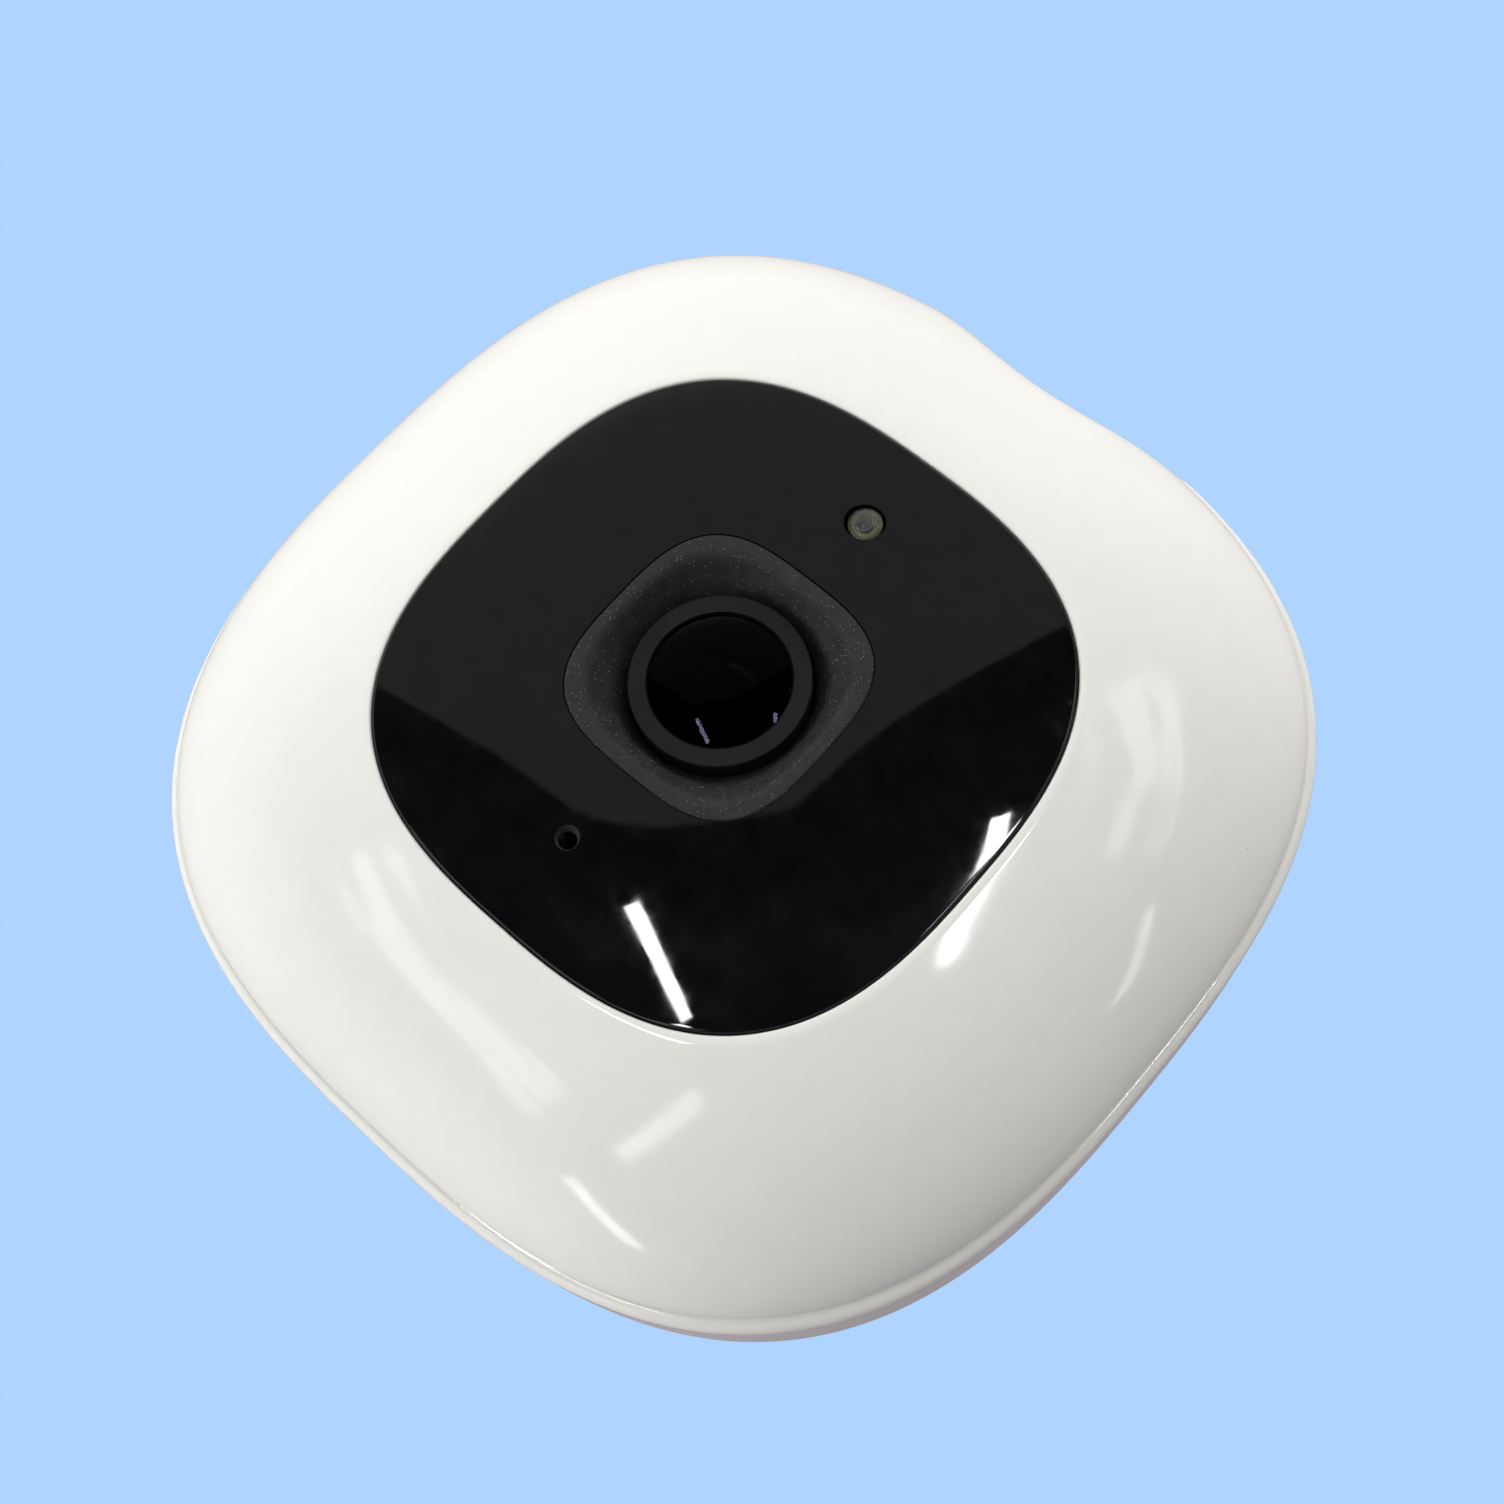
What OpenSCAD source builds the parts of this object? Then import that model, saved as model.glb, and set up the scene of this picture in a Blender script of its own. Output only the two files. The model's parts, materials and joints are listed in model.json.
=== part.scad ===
// Indoor security camera: a rounded-square head that tilts on a curved arm,
// and a weighted base that the arm swivels on. Millimetres.
// At rest the lens looks straight up (+Z) and the base stands on z = 0.
// The side of the head with the arm channel and the dent faces -Y.

/* [Head] */
// Half of the front shell's width at the seam
seam_half = 41.5; // [40.5:0.1:42.5]
// How far the rear shell's lip stands out past the front shell
lip = 0.76; // [0.4:0.02:1]
// Exponent of the rounded-square outline (2 is a circle, higher is squarer)
squareness = 2.74; // [2.6:0.02:2.9]
// Height of the front dome above the seam
dome_height = 12.82; // [12.5:0.02:13.2]
// Depth of the rear shell below the seam
rear_depth = 22; // [22:0.1:22.6]
// Thickness of the moulded shells
wall = 2.2; // [2:0.1:2.4]
// Deepest point of the dent in the lower side
dent_depth = 3.04; // [0:0.02:3.2]
// Half of the dent's width
dent_half = 15.5; // [13:0.5:17]

/* [Face] */
// Half of the black face plate's width
plate_half = 24.4; // [23.5:0.1:24.8]
// Half of the rubber collar's width
collar_half = 10.25; // [10:0.05:10.5]
// Exponent of the collar's outline
collar_squareness = 3.19; // [2.8:0.01:3.4]
// Distance from the lens axis to the status light
led_offset = 16.87; // [16:0.01:17.4]
// Distance from the lens axis to the microphone hole
mic_offset = 16.67; // [16:0.01:17.4]

/* [Lens] */
// Outside radius of the barrel's head (an M12 lens)
barrel_r = 7; // [6.8:0.05:7.1]
// Radius of the barrel's threaded part
thread_r = 6; // [5.8:0.05:6]
// Height of the barrel's front ring above the seam
ring_z = 11.28; // [11:0.02:11.6]
// Radius of the opening in the front ring
ring_bore_r = 5.6; // [5.5:0.05:5.7]
// Height of the middle of the front glass above the seam
glass_top = 11.9; // [11.7:0.02:11.9]
// Travel of the day and night filter slide
filter_travel = 7; // [6.6:0.1:7]

/* [Stand] */
// Radius of the base
base_r = 30; // [29:0.5:32]
// Height of the base
base_h = 8; // [7.8:0.1:9]
// Height of the tilt hinge above the table
hinge_z = 40; // [40:0.5:42]
// Distance of the tilt hinge from the lens axis
hinge_y = 17; // [17:0.1:17.4]
// Width of the arm
arm_width = 12; // [11.5:0.1:12]
// Thickness of the arm
arm_thick = 6.2; // [5.6:0.1:6.2]
// Radius of the arm's knuckle
knuckle_r = 4.5; // [4.4:0.05:4.6]
// Radius of the hinge pin
pin_r = 1.5; // [1.4:0.05:1.6]
// Radius of the circle of wall screw holes
wall_screw_circle_r = 21; // [20.5:0.1:21.5]
// Radius of a wall screw hole
wall_screw_r = 2.2; // [2:0.05:2.3]

/* [Hidden] */
$fn = 64;
eps = 0.01;
running_gap = 0.05;
steps = 72;
dome_inner_power = 2.15;
dome_outer_power = 1.76;
dent_power = 0.79;
pin_hinge_inset = 6;
seam_z = hinge_z - pin_hinge_inset + rear_depth;
hinge_drop = rear_depth - pin_hinge_inset;
rear_half = seam_half + lip;
back_scale = 23;
back_inner_scale = 21.8;
back_power = 6;
back_root = 0.4;
floor_z = -rear_depth + 2;
groove = 0.45;
ledge_z = 8.2;
ledge_base_z = 6.4;
ledge_half = 21;
tape = 0.15;
plate_thick = 1.8;
main_top = -12.2;
main_bottom = -13.4;
sensor_top = -9.3;
sensor_bottom = -10.5;
housing_top = -4;
glass_r = 6;
glass_curve_r = 18;
inner_glass_r = 5.2;
rear_glass_r = 4.3;
flange_top = -2.4;
frame_top = -0.8;
ir_board_z = 5.2;
ir_board_top = 6.3;
case_screw_at = 19.5;
case_tube_top = -6.2;
case_seat = -15.6;
screw_r = 1;
screw_head_r = 1.9;
screw_head_h = 1.3;
screw_length = 5;
screw_fit = 0.03;
channel_half = 7.6;
channel_wall = 2;
ear_inner = channel_half + channel_wall + 0.1;
ear_outer = ear_inner + 2;
cover_thick = 2;
cover_under = base_h - cover_thick;
plate_low = 0.8;
plate_top = 2.8;
hub_r = 10;
stem_r = 5;
swivel_thick = 0.8;
swivel_low = cover_under - running_gap - swivel_thick;
swivel_screw_r = 1.5;
base_screw_r = 1.2;
base_screw_seat = plate_low + 1.1;
sleeve_r = 3.6;
boss_r = 3;
arm_room = 0.5;
stack_long = 31;
pane_half = 3.1;
screw_pass_r = screw_r + 0.1;
screw_bite_r = screw_r + screw_fit;
case_shank_r = 1.1;
case_head_r = 2.3;
button_r = 3;
reset_r = 0.75;
card_wide = 11;
label_size = [22, 10];
board_screw_spots = [[30, 14], [-30, 14], [30, -16], [-30, -16], [0, 31.5]];
frame_screw_spots = [[28, 8], [-28, 8], [28, -8], [-28, -8]];
flange_screw_spots = [[0, 11], [0, -11]];
sensor_screw_spots = [[13.9, 0], [-13.9, 0]];
ir_screw_spots = [[12.5, -12.5], [-12.5, 12.5]];
bracket_screw_spots = [[14.4, -14], [-14.4, -14]];
bracket_foot_z = -14;
bracket_foot_thick = 1.2;
usb_at = [-24, -9];
pair_at = [24, -9];
reset_at = [24, 2];
speaker_y = 17.5;
speaker_r = 10;
card_y = 0;
card_z = -11.9;

// ---------- Formulas of the head ----------

// Distance to a unit rounded square of exponent n, in direction phi
function unit_reach(phi, n) =
    pow(pow(abs(cos(phi)), n) + pow(abs(sin(phi)), n), -1 / n);

// Half-width of the head's own rounded square that passes through a point
function level(x, y) =
    pow(pow(abs(x), squareness) + pow(abs(y), squareness), 1 / squareness);

// Height of the front dome at a half-width
function dome_z(half) =
    let (part = min(half / seam_half, 1))
    dome_height * pow(1 - pow(part, dome_inner_power), 1 / dome_outer_power);

// Half-width at a part u of a dome's height
function dome_half(half, u) =
    half * pow(1 - pow(u, dome_outer_power), 1 / dome_inner_power);

// Half-width of a rear bowl at a depth below the seam
function bowl_half(half, scale, depth) =
    half * pow(1 - pow(depth / scale, back_power), back_root);

// Height of the rear shell's outside at a half-width
function bowl_z(half) =
    -back_scale * pow(1 - pow(half / rear_half, 1 / back_root), 1 / back_power);

// How far the dent draws the lower side in, at x
function dent(x) =
    abs(x) < dent_half
        ? dent_depth * pow(0.5 + 0.5 * cos(180 * x / dent_half), dent_power)
        : 0;

// A ring is [half-width, height, exponent, inset of the dented side].
// A ring with no height lies on the dome, lowered by its fifth value.
function ring_point(phi, ring) =
    let (
        reach = ring[0] * unit_reach(phi, ring[2]),
        x = reach * cos(phi),
        y = max(reach * sin(phi), dent(x) + ring[3] - rear_half),
        z = is_undef(ring[1]) ? dome_z(level(x, y)) - ring[4] : ring[1]
    )
    [x, y, z];

// Skin over a list of rings, run upwards on the outside. A loop joins the
// last ring to the first; without it both ends are capped.
module ring_skin(rings, loop = false) {
    count = len(rings);
    points = [
        for (ring = rings)
            for (k = [0:steps - 1])
                ring_point(360 * k / steps, ring)
    ];
    sides = [
        for (i = [0:count - (loop ? 1 : 2)])
            for (k = [0:steps - 1])
                let (
                    low = i * steps,
                    high = ((i + 1) % count) * steps,
                    next = (k + 1) % steps
                )
                each [
                    [low + k, high + k, high + next],
                    [low + k, high + next, low + next],
                ]
    ];
    ends = loop ? [] : [
        [for (k = [0:steps - 1]) k],
        [for (k = [steps - 1:-1:0]) (count - 1) * steps + k],
    ];
    polyhedron(points = points, faces = concat(sides, ends), convexity = 8);
}

module rounded_square(half, n = squareness) {
    polygon([
        for (k = [0:steps - 1])
            let (phi = 360 * k / steps)
            half * unit_reach(phi, n) * [cos(phi), sin(phi)]
    ]);
}

// ---------- Shared shapes ----------

module on_seam() {
    translate([0, 0, seam_z])
        children();
}

module at_hinge() {
    translate([0, -hinge_y, hinge_z])
        children();
}

module at_spots(spots) {
    for (spot = spots)
        translate([spot.x, spot.y, 0])
            children();
}

module at_corners(reach) {
    for (x = [-reach, reach])
        for (y = [-reach, reach])
            translate([x, y, 0])
                children();
}

// Tube or rod from height low to height high
module post(r, low, high) {
    translate([0, 0, low])
        cylinder(r = r, h = high - low);
}

module block(size, low) {
    translate([-size.x / 2, -size.y / 2, low])
        cube(size);
}

// Screw with its seat at z = 0, its shank below and its head above
module screw(shank_r, length, head_r, head_h) {
    slot_wide = shank_r * 0.5;
    slot_long = head_r * 1.3;
    difference() {
        union() {
            post(shank_r, -length, eps);
            post(head_r, 0, head_h);
        }
        for (turn = [0, 90])
            rotate([0, 0, turn])
                block([slot_long, slot_wide, head_h], head_h * 0.45);
    }
}

module small_screw() {
    screw(screw_r, screw_length, screw_head_r, screw_head_h);
}

// ---------- Base ----------

module on_screw_circle(first) {
    for (turn = [0, 120, 240])
        rotate([0, 0, first + turn])
            translate([wall_screw_circle_r, 0, 0])
                children();
}

module wall_holes() {
    on_screw_circle(90)
        post(wall_screw_r, -1, base_h + 1);
}

module base_cover() {
    edge_r = 3;
    sink_r = wall_screw_r + 1.8;
    sink_depth = 1.6;
    inner_r = base_r - cover_thick;
    color("whitesmoke") difference() {
        union() {
            rotate_extrude($fn = 96)
                polygon([
                    [0, cover_under],
                    [inner_r, cover_under],
                    [inner_r, plate_low],
                    [base_r, plate_low],
                    for (turn = [0:15:90])
                        [
                            base_r - edge_r + edge_r * cos(turn),
                            base_h - edge_r + edge_r * sin(turn)
                        ],
                    [0, base_h],
                ]);
            on_screw_circle(90)
                post(sleeve_r, plate_top, cover_under + 1);
            on_screw_circle(30)
                post(boss_r, plate_top, cover_under + 1);
        }
        post(stem_r + running_gap, cover_under - 1, base_h + 1);
        wall_holes();
        on_screw_circle(90)
            translate([0, 0, base_h - sink_depth])
                cylinder(r1 = wall_screw_r, r2 = sink_r, h = sink_depth + 0.2);
        on_screw_circle(30)
            post(base_screw_r + running_gap, plate_top - 1, base_h - 1.5);
    }
}

module base_plate() {
    rim_gap = 0.15;
    head_hole_r = 2.4;
    color("gainsboro") difference() {
        post(base_r - cover_thick - rim_gap, plate_low, plate_top);
        wall_holes();
        on_screw_circle(30)
            union() {
                post(base_screw_r + rim_gap, 0, plate_top + 1);
                post(head_hole_r, 0, base_screw_seat);
            }
    }
}

module base_weight() {
    weight_r = base_r - 4.5;
    weight_top = cover_under - 0.4;
    swivel_room_r = 9.4;
    room = 0.3;
    color("slategray") difference() {
        post(weight_r, plate_top + running_gap, weight_top);
        post(swivel_room_r, plate_top - 1, weight_top + 1);
        on_screw_circle(90)
            post(sleeve_r + room, plate_top - 1, weight_top + 1);
        on_screw_circle(30)
            post(boss_r + room, plate_top - 1, weight_top + 1);
    }
}

module rubber_foot() {
    rim_gap = 0.6;
    color("dimgray") difference() {
        post(base_r - cover_thick - rim_gap, 0, plate_low);
        wall_holes();
    }
}

module base_screws() {
    color("silver") on_screw_circle(30)
        translate([0, 0, base_screw_seat])
            rotate([180, 0, 0])
                screw(base_screw_r, 4.2, 2.2, 1);
}

// ---------- Arm ----------

// Point and direction on a cubic curve through four control points
function curve(c, t) =
    pow(1 - t, 3) * c[0] + 3 * pow(1 - t, 2) * t * c[1]
        + 3 * (1 - t) * t * t * c[2] + pow(t, 3) * c[3];
function slope(c, t) =
    3 * pow(1 - t, 2) * (c[1] - c[0]) + 6 * (1 - t) * t * (c[2] - c[1])
        + 3 * t * t * (c[3] - c[2]);
function beside(c, t, side) =
    let (s = slope(c, t))
    curve(c, t) + side * [-s.y, s.x] / norm(s);

module arm() {
    spine = [[0, base_h + 1], [0, 25], [-13.5, 23], [-hinge_y, hinge_z]];
    parts = 24;
    hub_top = base_h + 3;
    thread_top = base_h + 8.2;
    color("whitesmoke") difference() {
        union() {
            rotate([90, 0, 90])
                linear_extrude(arm_width, center = true)
                    polygon([
                        for (i = [0:parts]) beside(spine, i / parts, arm_thick / 2),
                        for (i = [parts:-1:0]) beside(spine, i / parts, -arm_thick / 2),
                    ]);
            at_hinge()
                rotate([0, 90, 0])
                    cylinder(r = knuckle_r, h = arm_width, center = true);
            post(hub_r, base_h + running_gap, hub_top);
            post(stem_r, cover_under - running_gap, hub_top);
        }
        at_hinge()
            rotate([0, 90, 0])
                cylinder(r = pin_r + running_gap, h = arm_width + 2, center = true);
        post(swivel_screw_r + screw_fit, 0, thread_top);
    }
}

module swivel_washer() {
    color("gold") difference() {
        post(8.5, swivel_low, swivel_low + swivel_thick);
        post(swivel_screw_r + running_gap, 0, base_h);
    }
}

module swivel_screw() {
    color("silver")
        translate([0, 0, swivel_low])
            rotate([180, 0, 0])
                screw(swivel_screw_r, 10, 3.4, 2);
}

// ---------- Hinge ----------

module hinge_pin() {
    color("silver")
        at_hinge()
            rotate([0, 90, 0])
                cylinder(r = pin_r, h = 2 * ear_outer, center = true);
}

module hinge_washers() {
    washer_r = 4;
    bore_gap = 0.1;
    thick = channel_half - arm_width / 2 - 2 * running_gap;
    color("gold")
        for (side = [-1, 1])
            at_hinge()
                translate([side * (arm_width / 2 + running_gap + thick / 2), 0, 0])
                    rotate([0, 90, 0])
                        difference() {
                            cylinder(r = washer_r, h = thick, center = true);
                            cylinder(r = pin_r + bore_gap, h = thick + 1, center = true);
                        }
}

module hinge_bracket() {
    bridge_low = -9.1;
    bridge_top = -7.9;
    foot_out = 16.9;
    foot_long = 6;
    ear_low = -hinge_drop - 3;
    strap = 8;
    color("silver") difference() {
        on_seam()
            for (side = [0, 1])
                mirror([side, 0, 0]) {
                    translate([ear_inner, -hinge_y - strap / 2, ear_low])
                        cube([ear_outer - ear_inner, strap, bridge_top - ear_low]);
                    translate([0, -hinge_y - strap / 2, bridge_low])
                        cube([ear_inner + eps, strap, bridge_top - bridge_low]);
                    translate([ear_inner, -hinge_y, bracket_foot_z])
                        cube([foot_out - ear_inner, foot_long, bracket_foot_thick]);
                }
        at_hinge()
            rotate([0, 90, 0])
                cylinder(r = pin_r + screw_fit, h = 40, center = true);
        on_seam()
            at_spots(bracket_screw_spots)
                post(screw_pass_r, bracket_foot_z - 1, bracket_foot_z + 3);
    }
}

// ---------- Shells ----------

// Clear space for the arm, from the knuckle out through the dented side
module channel_void() {
    back_y = 6.6;
    front_y = -32;
    low = -pin_hinge_inset - 2;
    roof = [[-10, 3.6], [-17, 1.2], [-24, -2.1], [front_y, -3.2]];
    at_hinge()
        rotate([90, 0, 90])
            linear_extrude(2 * channel_half, center = true)
                polygon([
                    [back_y, low],
                    for (turn = [0:12:108]) (knuckle_r + arm_room) * [cos(turn), sin(turn)],
                    each roof,
                    [front_y, low],
                ]);
}

// Walls of the channel, ending inside the thickness of the rear shell
module channel_block() {
    outer_r = knuckle_r + arm_room + 1.6;
    back_y = 8.6;
    skin = 1;
    side_y = rear_half - dent_depth - skin;
    run = [side_y, side_y - 1.5, side_y - 3.5, side_y - 7, side_y - 12];
    at_hinge()
        rotate([90, 0, 90])
            linear_extrude(2 * (channel_half + channel_wall), center = true)
                polygon([
                    [back_y, -pin_hinge_inset + skin],
                    for (turn = [0:12:108]) outer_r * [cos(turn), sin(turn)],
                    [-10.5, 5.4],
                    [hinge_y - side_y, 1.8],
                    for (y = run) [hinge_y - y, bowl_z(y + 0.4) + hinge_drop + skin],
                ]);
}

// Room for the plug's moulded end around the power socket
module usb_recess() {
    recess = [11.5, 7, 3];
    port = [8, 3.1, 6];
    translate([usb_at.x, usb_at.y, 0]) {
        block(recess, -rear_depth - 1.4);
        block(port, -rear_depth - 1);
    }
}

module speaker_holes() {
    pitch = 3.1;
    hole_r = 0.75;
    for (ring = [0:2])
        for (k = [0:max(6 * ring, 1) - 1])
            translate([0, speaker_y, 0])
                rotate([0, 0, 60 * k / max(ring, 1)])
                    translate([pitch * ring, 0, 0])
                        post(hole_r, -rear_depth - 1, floor_z + 1, $fn = 24);
}

module vent_slots() {
    pitch = 3.6;
    wide = 1.4;
    tall = 7;
    for (k = [-4:4])
        translate([pitch * k - wide / 2, rear_half - 6, -12.5])
            cube([wide, 8, tall]);
}

module rear_shell() {
    lip_inner = rear_half - wall;
    tube_r = 3.4;
    board_post_r = 2.4;
    board_post_low = -19.2;
    bracket_post_r = 2.3;
    card_gap = 0.4;
    outside = [for (depth = [rear_depth, 21.4, 20.4, 19, 17, 14.5, 11, 6, 0.8])
        [bowl_half(rear_half, back_scale, depth), -depth, squareness, 0]];
    inside = [for (depth = [6, 11, 14.5, 17, 18.6, 19.5, -floor_z])
        [bowl_half(lip_inner, back_inner_scale, depth), -depth, squareness, wall]];
    color("whitesmoke") difference() {
        union() {
            on_seam()
                ring_skin(concat(
                    outside,
                    [[rear_half - 0.2, -0.25, squareness, 0.2]],
                    [[rear_half - 0.7, 0, squareness, 0.7]],
                    [[lip_inner, 0, squareness, wall]],
                    inside
                ));
            channel_block();
            on_seam() {
                at_corners(case_screw_at)
                    post(tube_r, floor_z - 1, case_tube_top);
                at_spots(board_screw_spots)
                    post(board_post_r, board_post_low, main_bottom);
                at_spots(bracket_screw_spots)
                    post(bracket_post_r, floor_z - 1, bracket_foot_z);
            }
        }
        channel_void();
        at_hinge()
            rotate([0, 90, 0])
                cylinder(r = pin_r + running_gap, h = 30, center = true);
        on_seam() {
            at_corners(case_screw_at) {
                post(case_shank_r + 0.2, -30, 0);
                post(case_head_r + 0.2, -30, case_seat);
            }
            at_spots(board_screw_spots)
                post(screw_bite_r, -17.8, 0);
            at_spots(bracket_screw_spots)
                post(screw_bite_r, -19.4, 0);
            usb_recess();
            speaker_holes();
            vent_slots();
            translate([pair_at.x, pair_at.y, 0])
                post(button_r + 0.1, -30, floor_z + 1);
            translate([reset_at.x, reset_at.y, 0])
                post(reset_r, -30, floor_z + 1);
            translate([30, card_y - card_wide / 2 - card_gap, card_z - 0.3])
                cube([20, card_wide + 2 * card_gap, 1.6]);
            translate([rear_half - 1.2, card_y - 4, card_z - 1.3])
                cube([5, 8, 3.6]);
            block([label_size.x + 0.4, label_size.y + 0.4, 1], -rear_depth - 0.7);
        }
    }
}

module front_shell() {
    skirt_half = rear_half - wall - 0.2;
    rim_u = groove / dome_height;
    plate_u = dome_z(plate_half + 0.1) / dome_height;
    skirt_low = -2.5;
    skirt_in = 1.6;
    inner_half = 39.3;
    inner_height = 10.6;
    tube_r = 3;
    frame_boss_r = 2.3;
    dome = [for (k = [0:9])
        let (u = rim_u + (plate_u - rim_u) * k / 9)
        [dome_half(seam_half, u), dome_height * u, squareness, 0]];
    under = [for (u = [0.6, 0.5, 0.38, 0.22])
        [dome_half(inner_half, u), inner_height * u, squareness, 3]];
    color("white") difference() {
        on_seam()
            union() {
                ring_skin(concat(
                    dome,
                    [[plate_half + 0.1, ledge_z, squareness, 0]],
                    [[ledge_half, ledge_z, squareness, 0]],
                    [[ledge_half, ledge_base_z, squareness, 0]],
                    under,
                    [[skirt_half - skirt_in, 0.4, squareness, wall + 0.2 + skirt_in]],
                    [[skirt_half - skirt_in, skirt_low, squareness, wall + 0.2 + skirt_in]],
                    [[skirt_half, skirt_low, squareness, wall + 0.2]],
                    [[skirt_half, groove, squareness, wall + 0.2]]
                ), loop = true);
                at_corners(case_screw_at)
                    post(tube_r, case_tube_top + running_gap, ledge_base_z + 1);
                at_spots(frame_screw_spots)
                    post(frame_boss_r, frame_top, ledge_base_z + 1);
            }
        on_seam() {
            at_corners(case_screw_at)
                post(case_shank_r + screw_fit, -8, ledge_base_z - 0.5);
            at_spots(frame_screw_spots)
                post(screw_bite_r, -8, 3.5);
        }
    }
}

module face_plate() {
    bevel = 0.2;
    hole_half = collar_half + 0.04;
    flat_z = ledge_z + tape;
    led_hole_r = 1.6;
    mic_hole_r = 0.7;
    mic_flare_r = 1;
    top = [for (half = [24, 20.5, 17, 13.5, hole_half])
        let (blend = (plate_half - half) / (plate_half - hole_half))
        [half, undef, squareness + (collar_squareness - squareness) * blend, 0, 0]];
    under = [for (half = [hole_half, 13.5, 17, 20.5])
        let (blend = (plate_half - half) / (plate_half - hole_half))
        [half, undef, squareness + (collar_squareness - squareness) * blend, 0, plate_thick]];
    color([0.05, 0.05, 0.06]) on_seam() difference() {
        ring_skin(concat(
            [[plate_half, flat_z, squareness, 0]],
            [[plate_half, dome_z(plate_half) - bevel, squareness, 0]],
            [[plate_half - bevel, dome_z(plate_half), squareness, 0]],
            top,
            under,
            [[21.8, flat_z, squareness, 0]]
        ), loop = true);
        translate([0, -led_offset, 0])
            post(led_hole_r, 0, dome_height + 1);
        translate([0, mic_offset, 0])
            post(mic_hole_r, 0, dome_height + 1);
        translate([0, mic_offset, dome_z(mic_offset) - 0.5])
            cylinder(r1 = mic_hole_r, r2 = mic_flare_r, h = 0.7);
    }
}

module plate_adhesive() {
    color("gray") on_seam()
        translate([0, 0, ledge_z])
            linear_extrude(tape)
                difference() {
                    rounded_square(plate_half - 0.1);
                    rounded_square(21.9);
                }
}

module lens_collar() {
    top = 12.44;
    flange_half = 12.3;
    color([0.15, 0.15, 0.16]) on_seam() difference() {
        ring_skin([
            [flange_half, 9, collar_squareness, 0],
            [flange_half, 10.2, collar_squareness, 0],
            [collar_half, 10.3, collar_squareness, 0],
            [collar_half, top - 0.15, collar_squareness, 0],
            [collar_half - 0.15, top, collar_squareness, 0],
            [9.3, top, 2.95, 0],
            [8.5, top - 0.6, 2.55, 0],
            [7.8, top - 1.7, 2.2, 0],
            [7.3, top - 2.8, 2, 0],
        ]);
        post(barrel_r + 0.1, 5, dome_height + 1);
    }
}

// ---------- Lens ----------

module lens_barrel() {
    step_z = 9.9;
    head_low = 4.8;
    low = -4;
    mouth_r = 3.6;
    front_bore_r = glass_r + running_gap;
    middle_bore_r = inner_glass_r + running_gap;
    rear_bore_r = rear_glass_r + running_gap;
    color([0.13, 0.14, 0.15]) on_seam() rotate_extrude()
        polygon([
            [mouth_r, low],
            [thread_r, low],
            [thread_r, head_low],
            [barrel_r, head_low],
            [barrel_r, step_z],
            [front_bore_r, step_z],
            [front_bore_r, 7.2],
            [middle_bore_r, 7.2],
            [middle_bore_r, 1.2],
            [rear_bore_r, 1.2],
            [rear_bore_r, -3.2],
            [mouth_r, -3.2],
        ]);
}

module lens_retaining_ring() {
    low = 9.95;
    bevel = 0.15;
    wall_r = glass_r + 0.1;
    lip_r = ring_bore_r - bevel;
    color([0.15, 0.16, 0.17]) on_seam() rotate_extrude()
        polygon([
            [wall_r, low],
            [barrel_r, low],
            [barrel_r, ring_z - bevel],
            [barrel_r - bevel, ring_z],
            [ring_bore_r, ring_z],
            [lip_r, ring_z - bevel],
            [lip_r, glass_z(lip_r) + 0.03],
            [wall_r, glass_z(glass_r) + 0.06],
        ]);
}

// Height of the front glass at a distance from the lens axis
function glass_z(r) = glass_top - glass_curve_r + sqrt(glass_curve_r * glass_curve_r - r * r);

// Glass element: a disc with a bulging front and a hollow or bulging back
module element(r, low, high, front_r, back_r, hollow) {
    difference() {
        intersection() {
            post(r, low, high);
            translate([0, 0, high - front_r])
                sphere(r = front_r, $fn = 128);
            if (!hollow)
                translate([0, 0, low + back_r])
                    sphere(r = back_r, $fn = 128);
        }
        if (hollow)
            translate([0, 0, low - back_r + 1.4])
                sphere(r = back_r, $fn = 128);
    }
}

module front_lens() {
    color("lightblue", 0.5) on_seam()
        element(glass_r, 7.3, glass_top, glass_curve_r, 6.5, true);
}

module lens_spacer() {
    color([0.1, 0.1, 0.1]) on_seam() difference() {
        post(inner_glass_r, 5.3, 7.15);
        translate([0, 0, 5.2])
            cylinder(r1 = 3.2, r2 = 4.4, h = 2);
    }
}

module second_lens() {
    color("lightblue", 0.5) on_seam()
        element(inner_glass_r, 2.4, 5.25, 14, 30, false);
}

module aperture_disc() {
    color([0.05, 0.05, 0.05]) on_seam() difference() {
        post(inner_glass_r, 1.3, 1.9);
        translate([0, 0, 1.2])
            cylinder(r1 = 1.4, r2 = 2.4, h = 0.8);
    }
}

module rear_lens() {
    color("lightblue", 0.5) on_seam()
        element(rear_glass_r, -3.1, 0.8, 12, 18, false);
}

module lens_holder() {
    color([0.12, 0.12, 0.12]) on_seam() difference() {
        union() {
            block([stack_long, 26, flange_top - housing_top], housing_top);
            post(8, flange_top - eps, 4.2);
        }
        post(thread_r + screw_fit, -6, 6);
        at_spots(flange_screw_spots)
            post(screw_pass_r, -6, 0);
    }
}

module filter_housing() {
    color([0.14, 0.14, 0.14]) on_seam() difference() {
        block([stack_long, 15, housing_top - 0.02 - sensor_top], sensor_top);
        block([24.6, 11.4, 1.9], -7.1);
        post(4.2, -8, -3);
        block([9.6, 9.6, 2.4], sensor_top - 0.4);
        translate([8, 5.6, -7.1])
            cube([4, 3, 1.9]);
        at_spots(sensor_screw_spots)
            post(screw_bite_r, -10, -5.2);
    }
}

// Two glass panes side by side: the day pane is under the lens at rest
module pane(x) {
    translate([x, 0, 0])
        block([2 * pane_half, 2 * pane_half, 0.5], -6.4);
}

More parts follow.
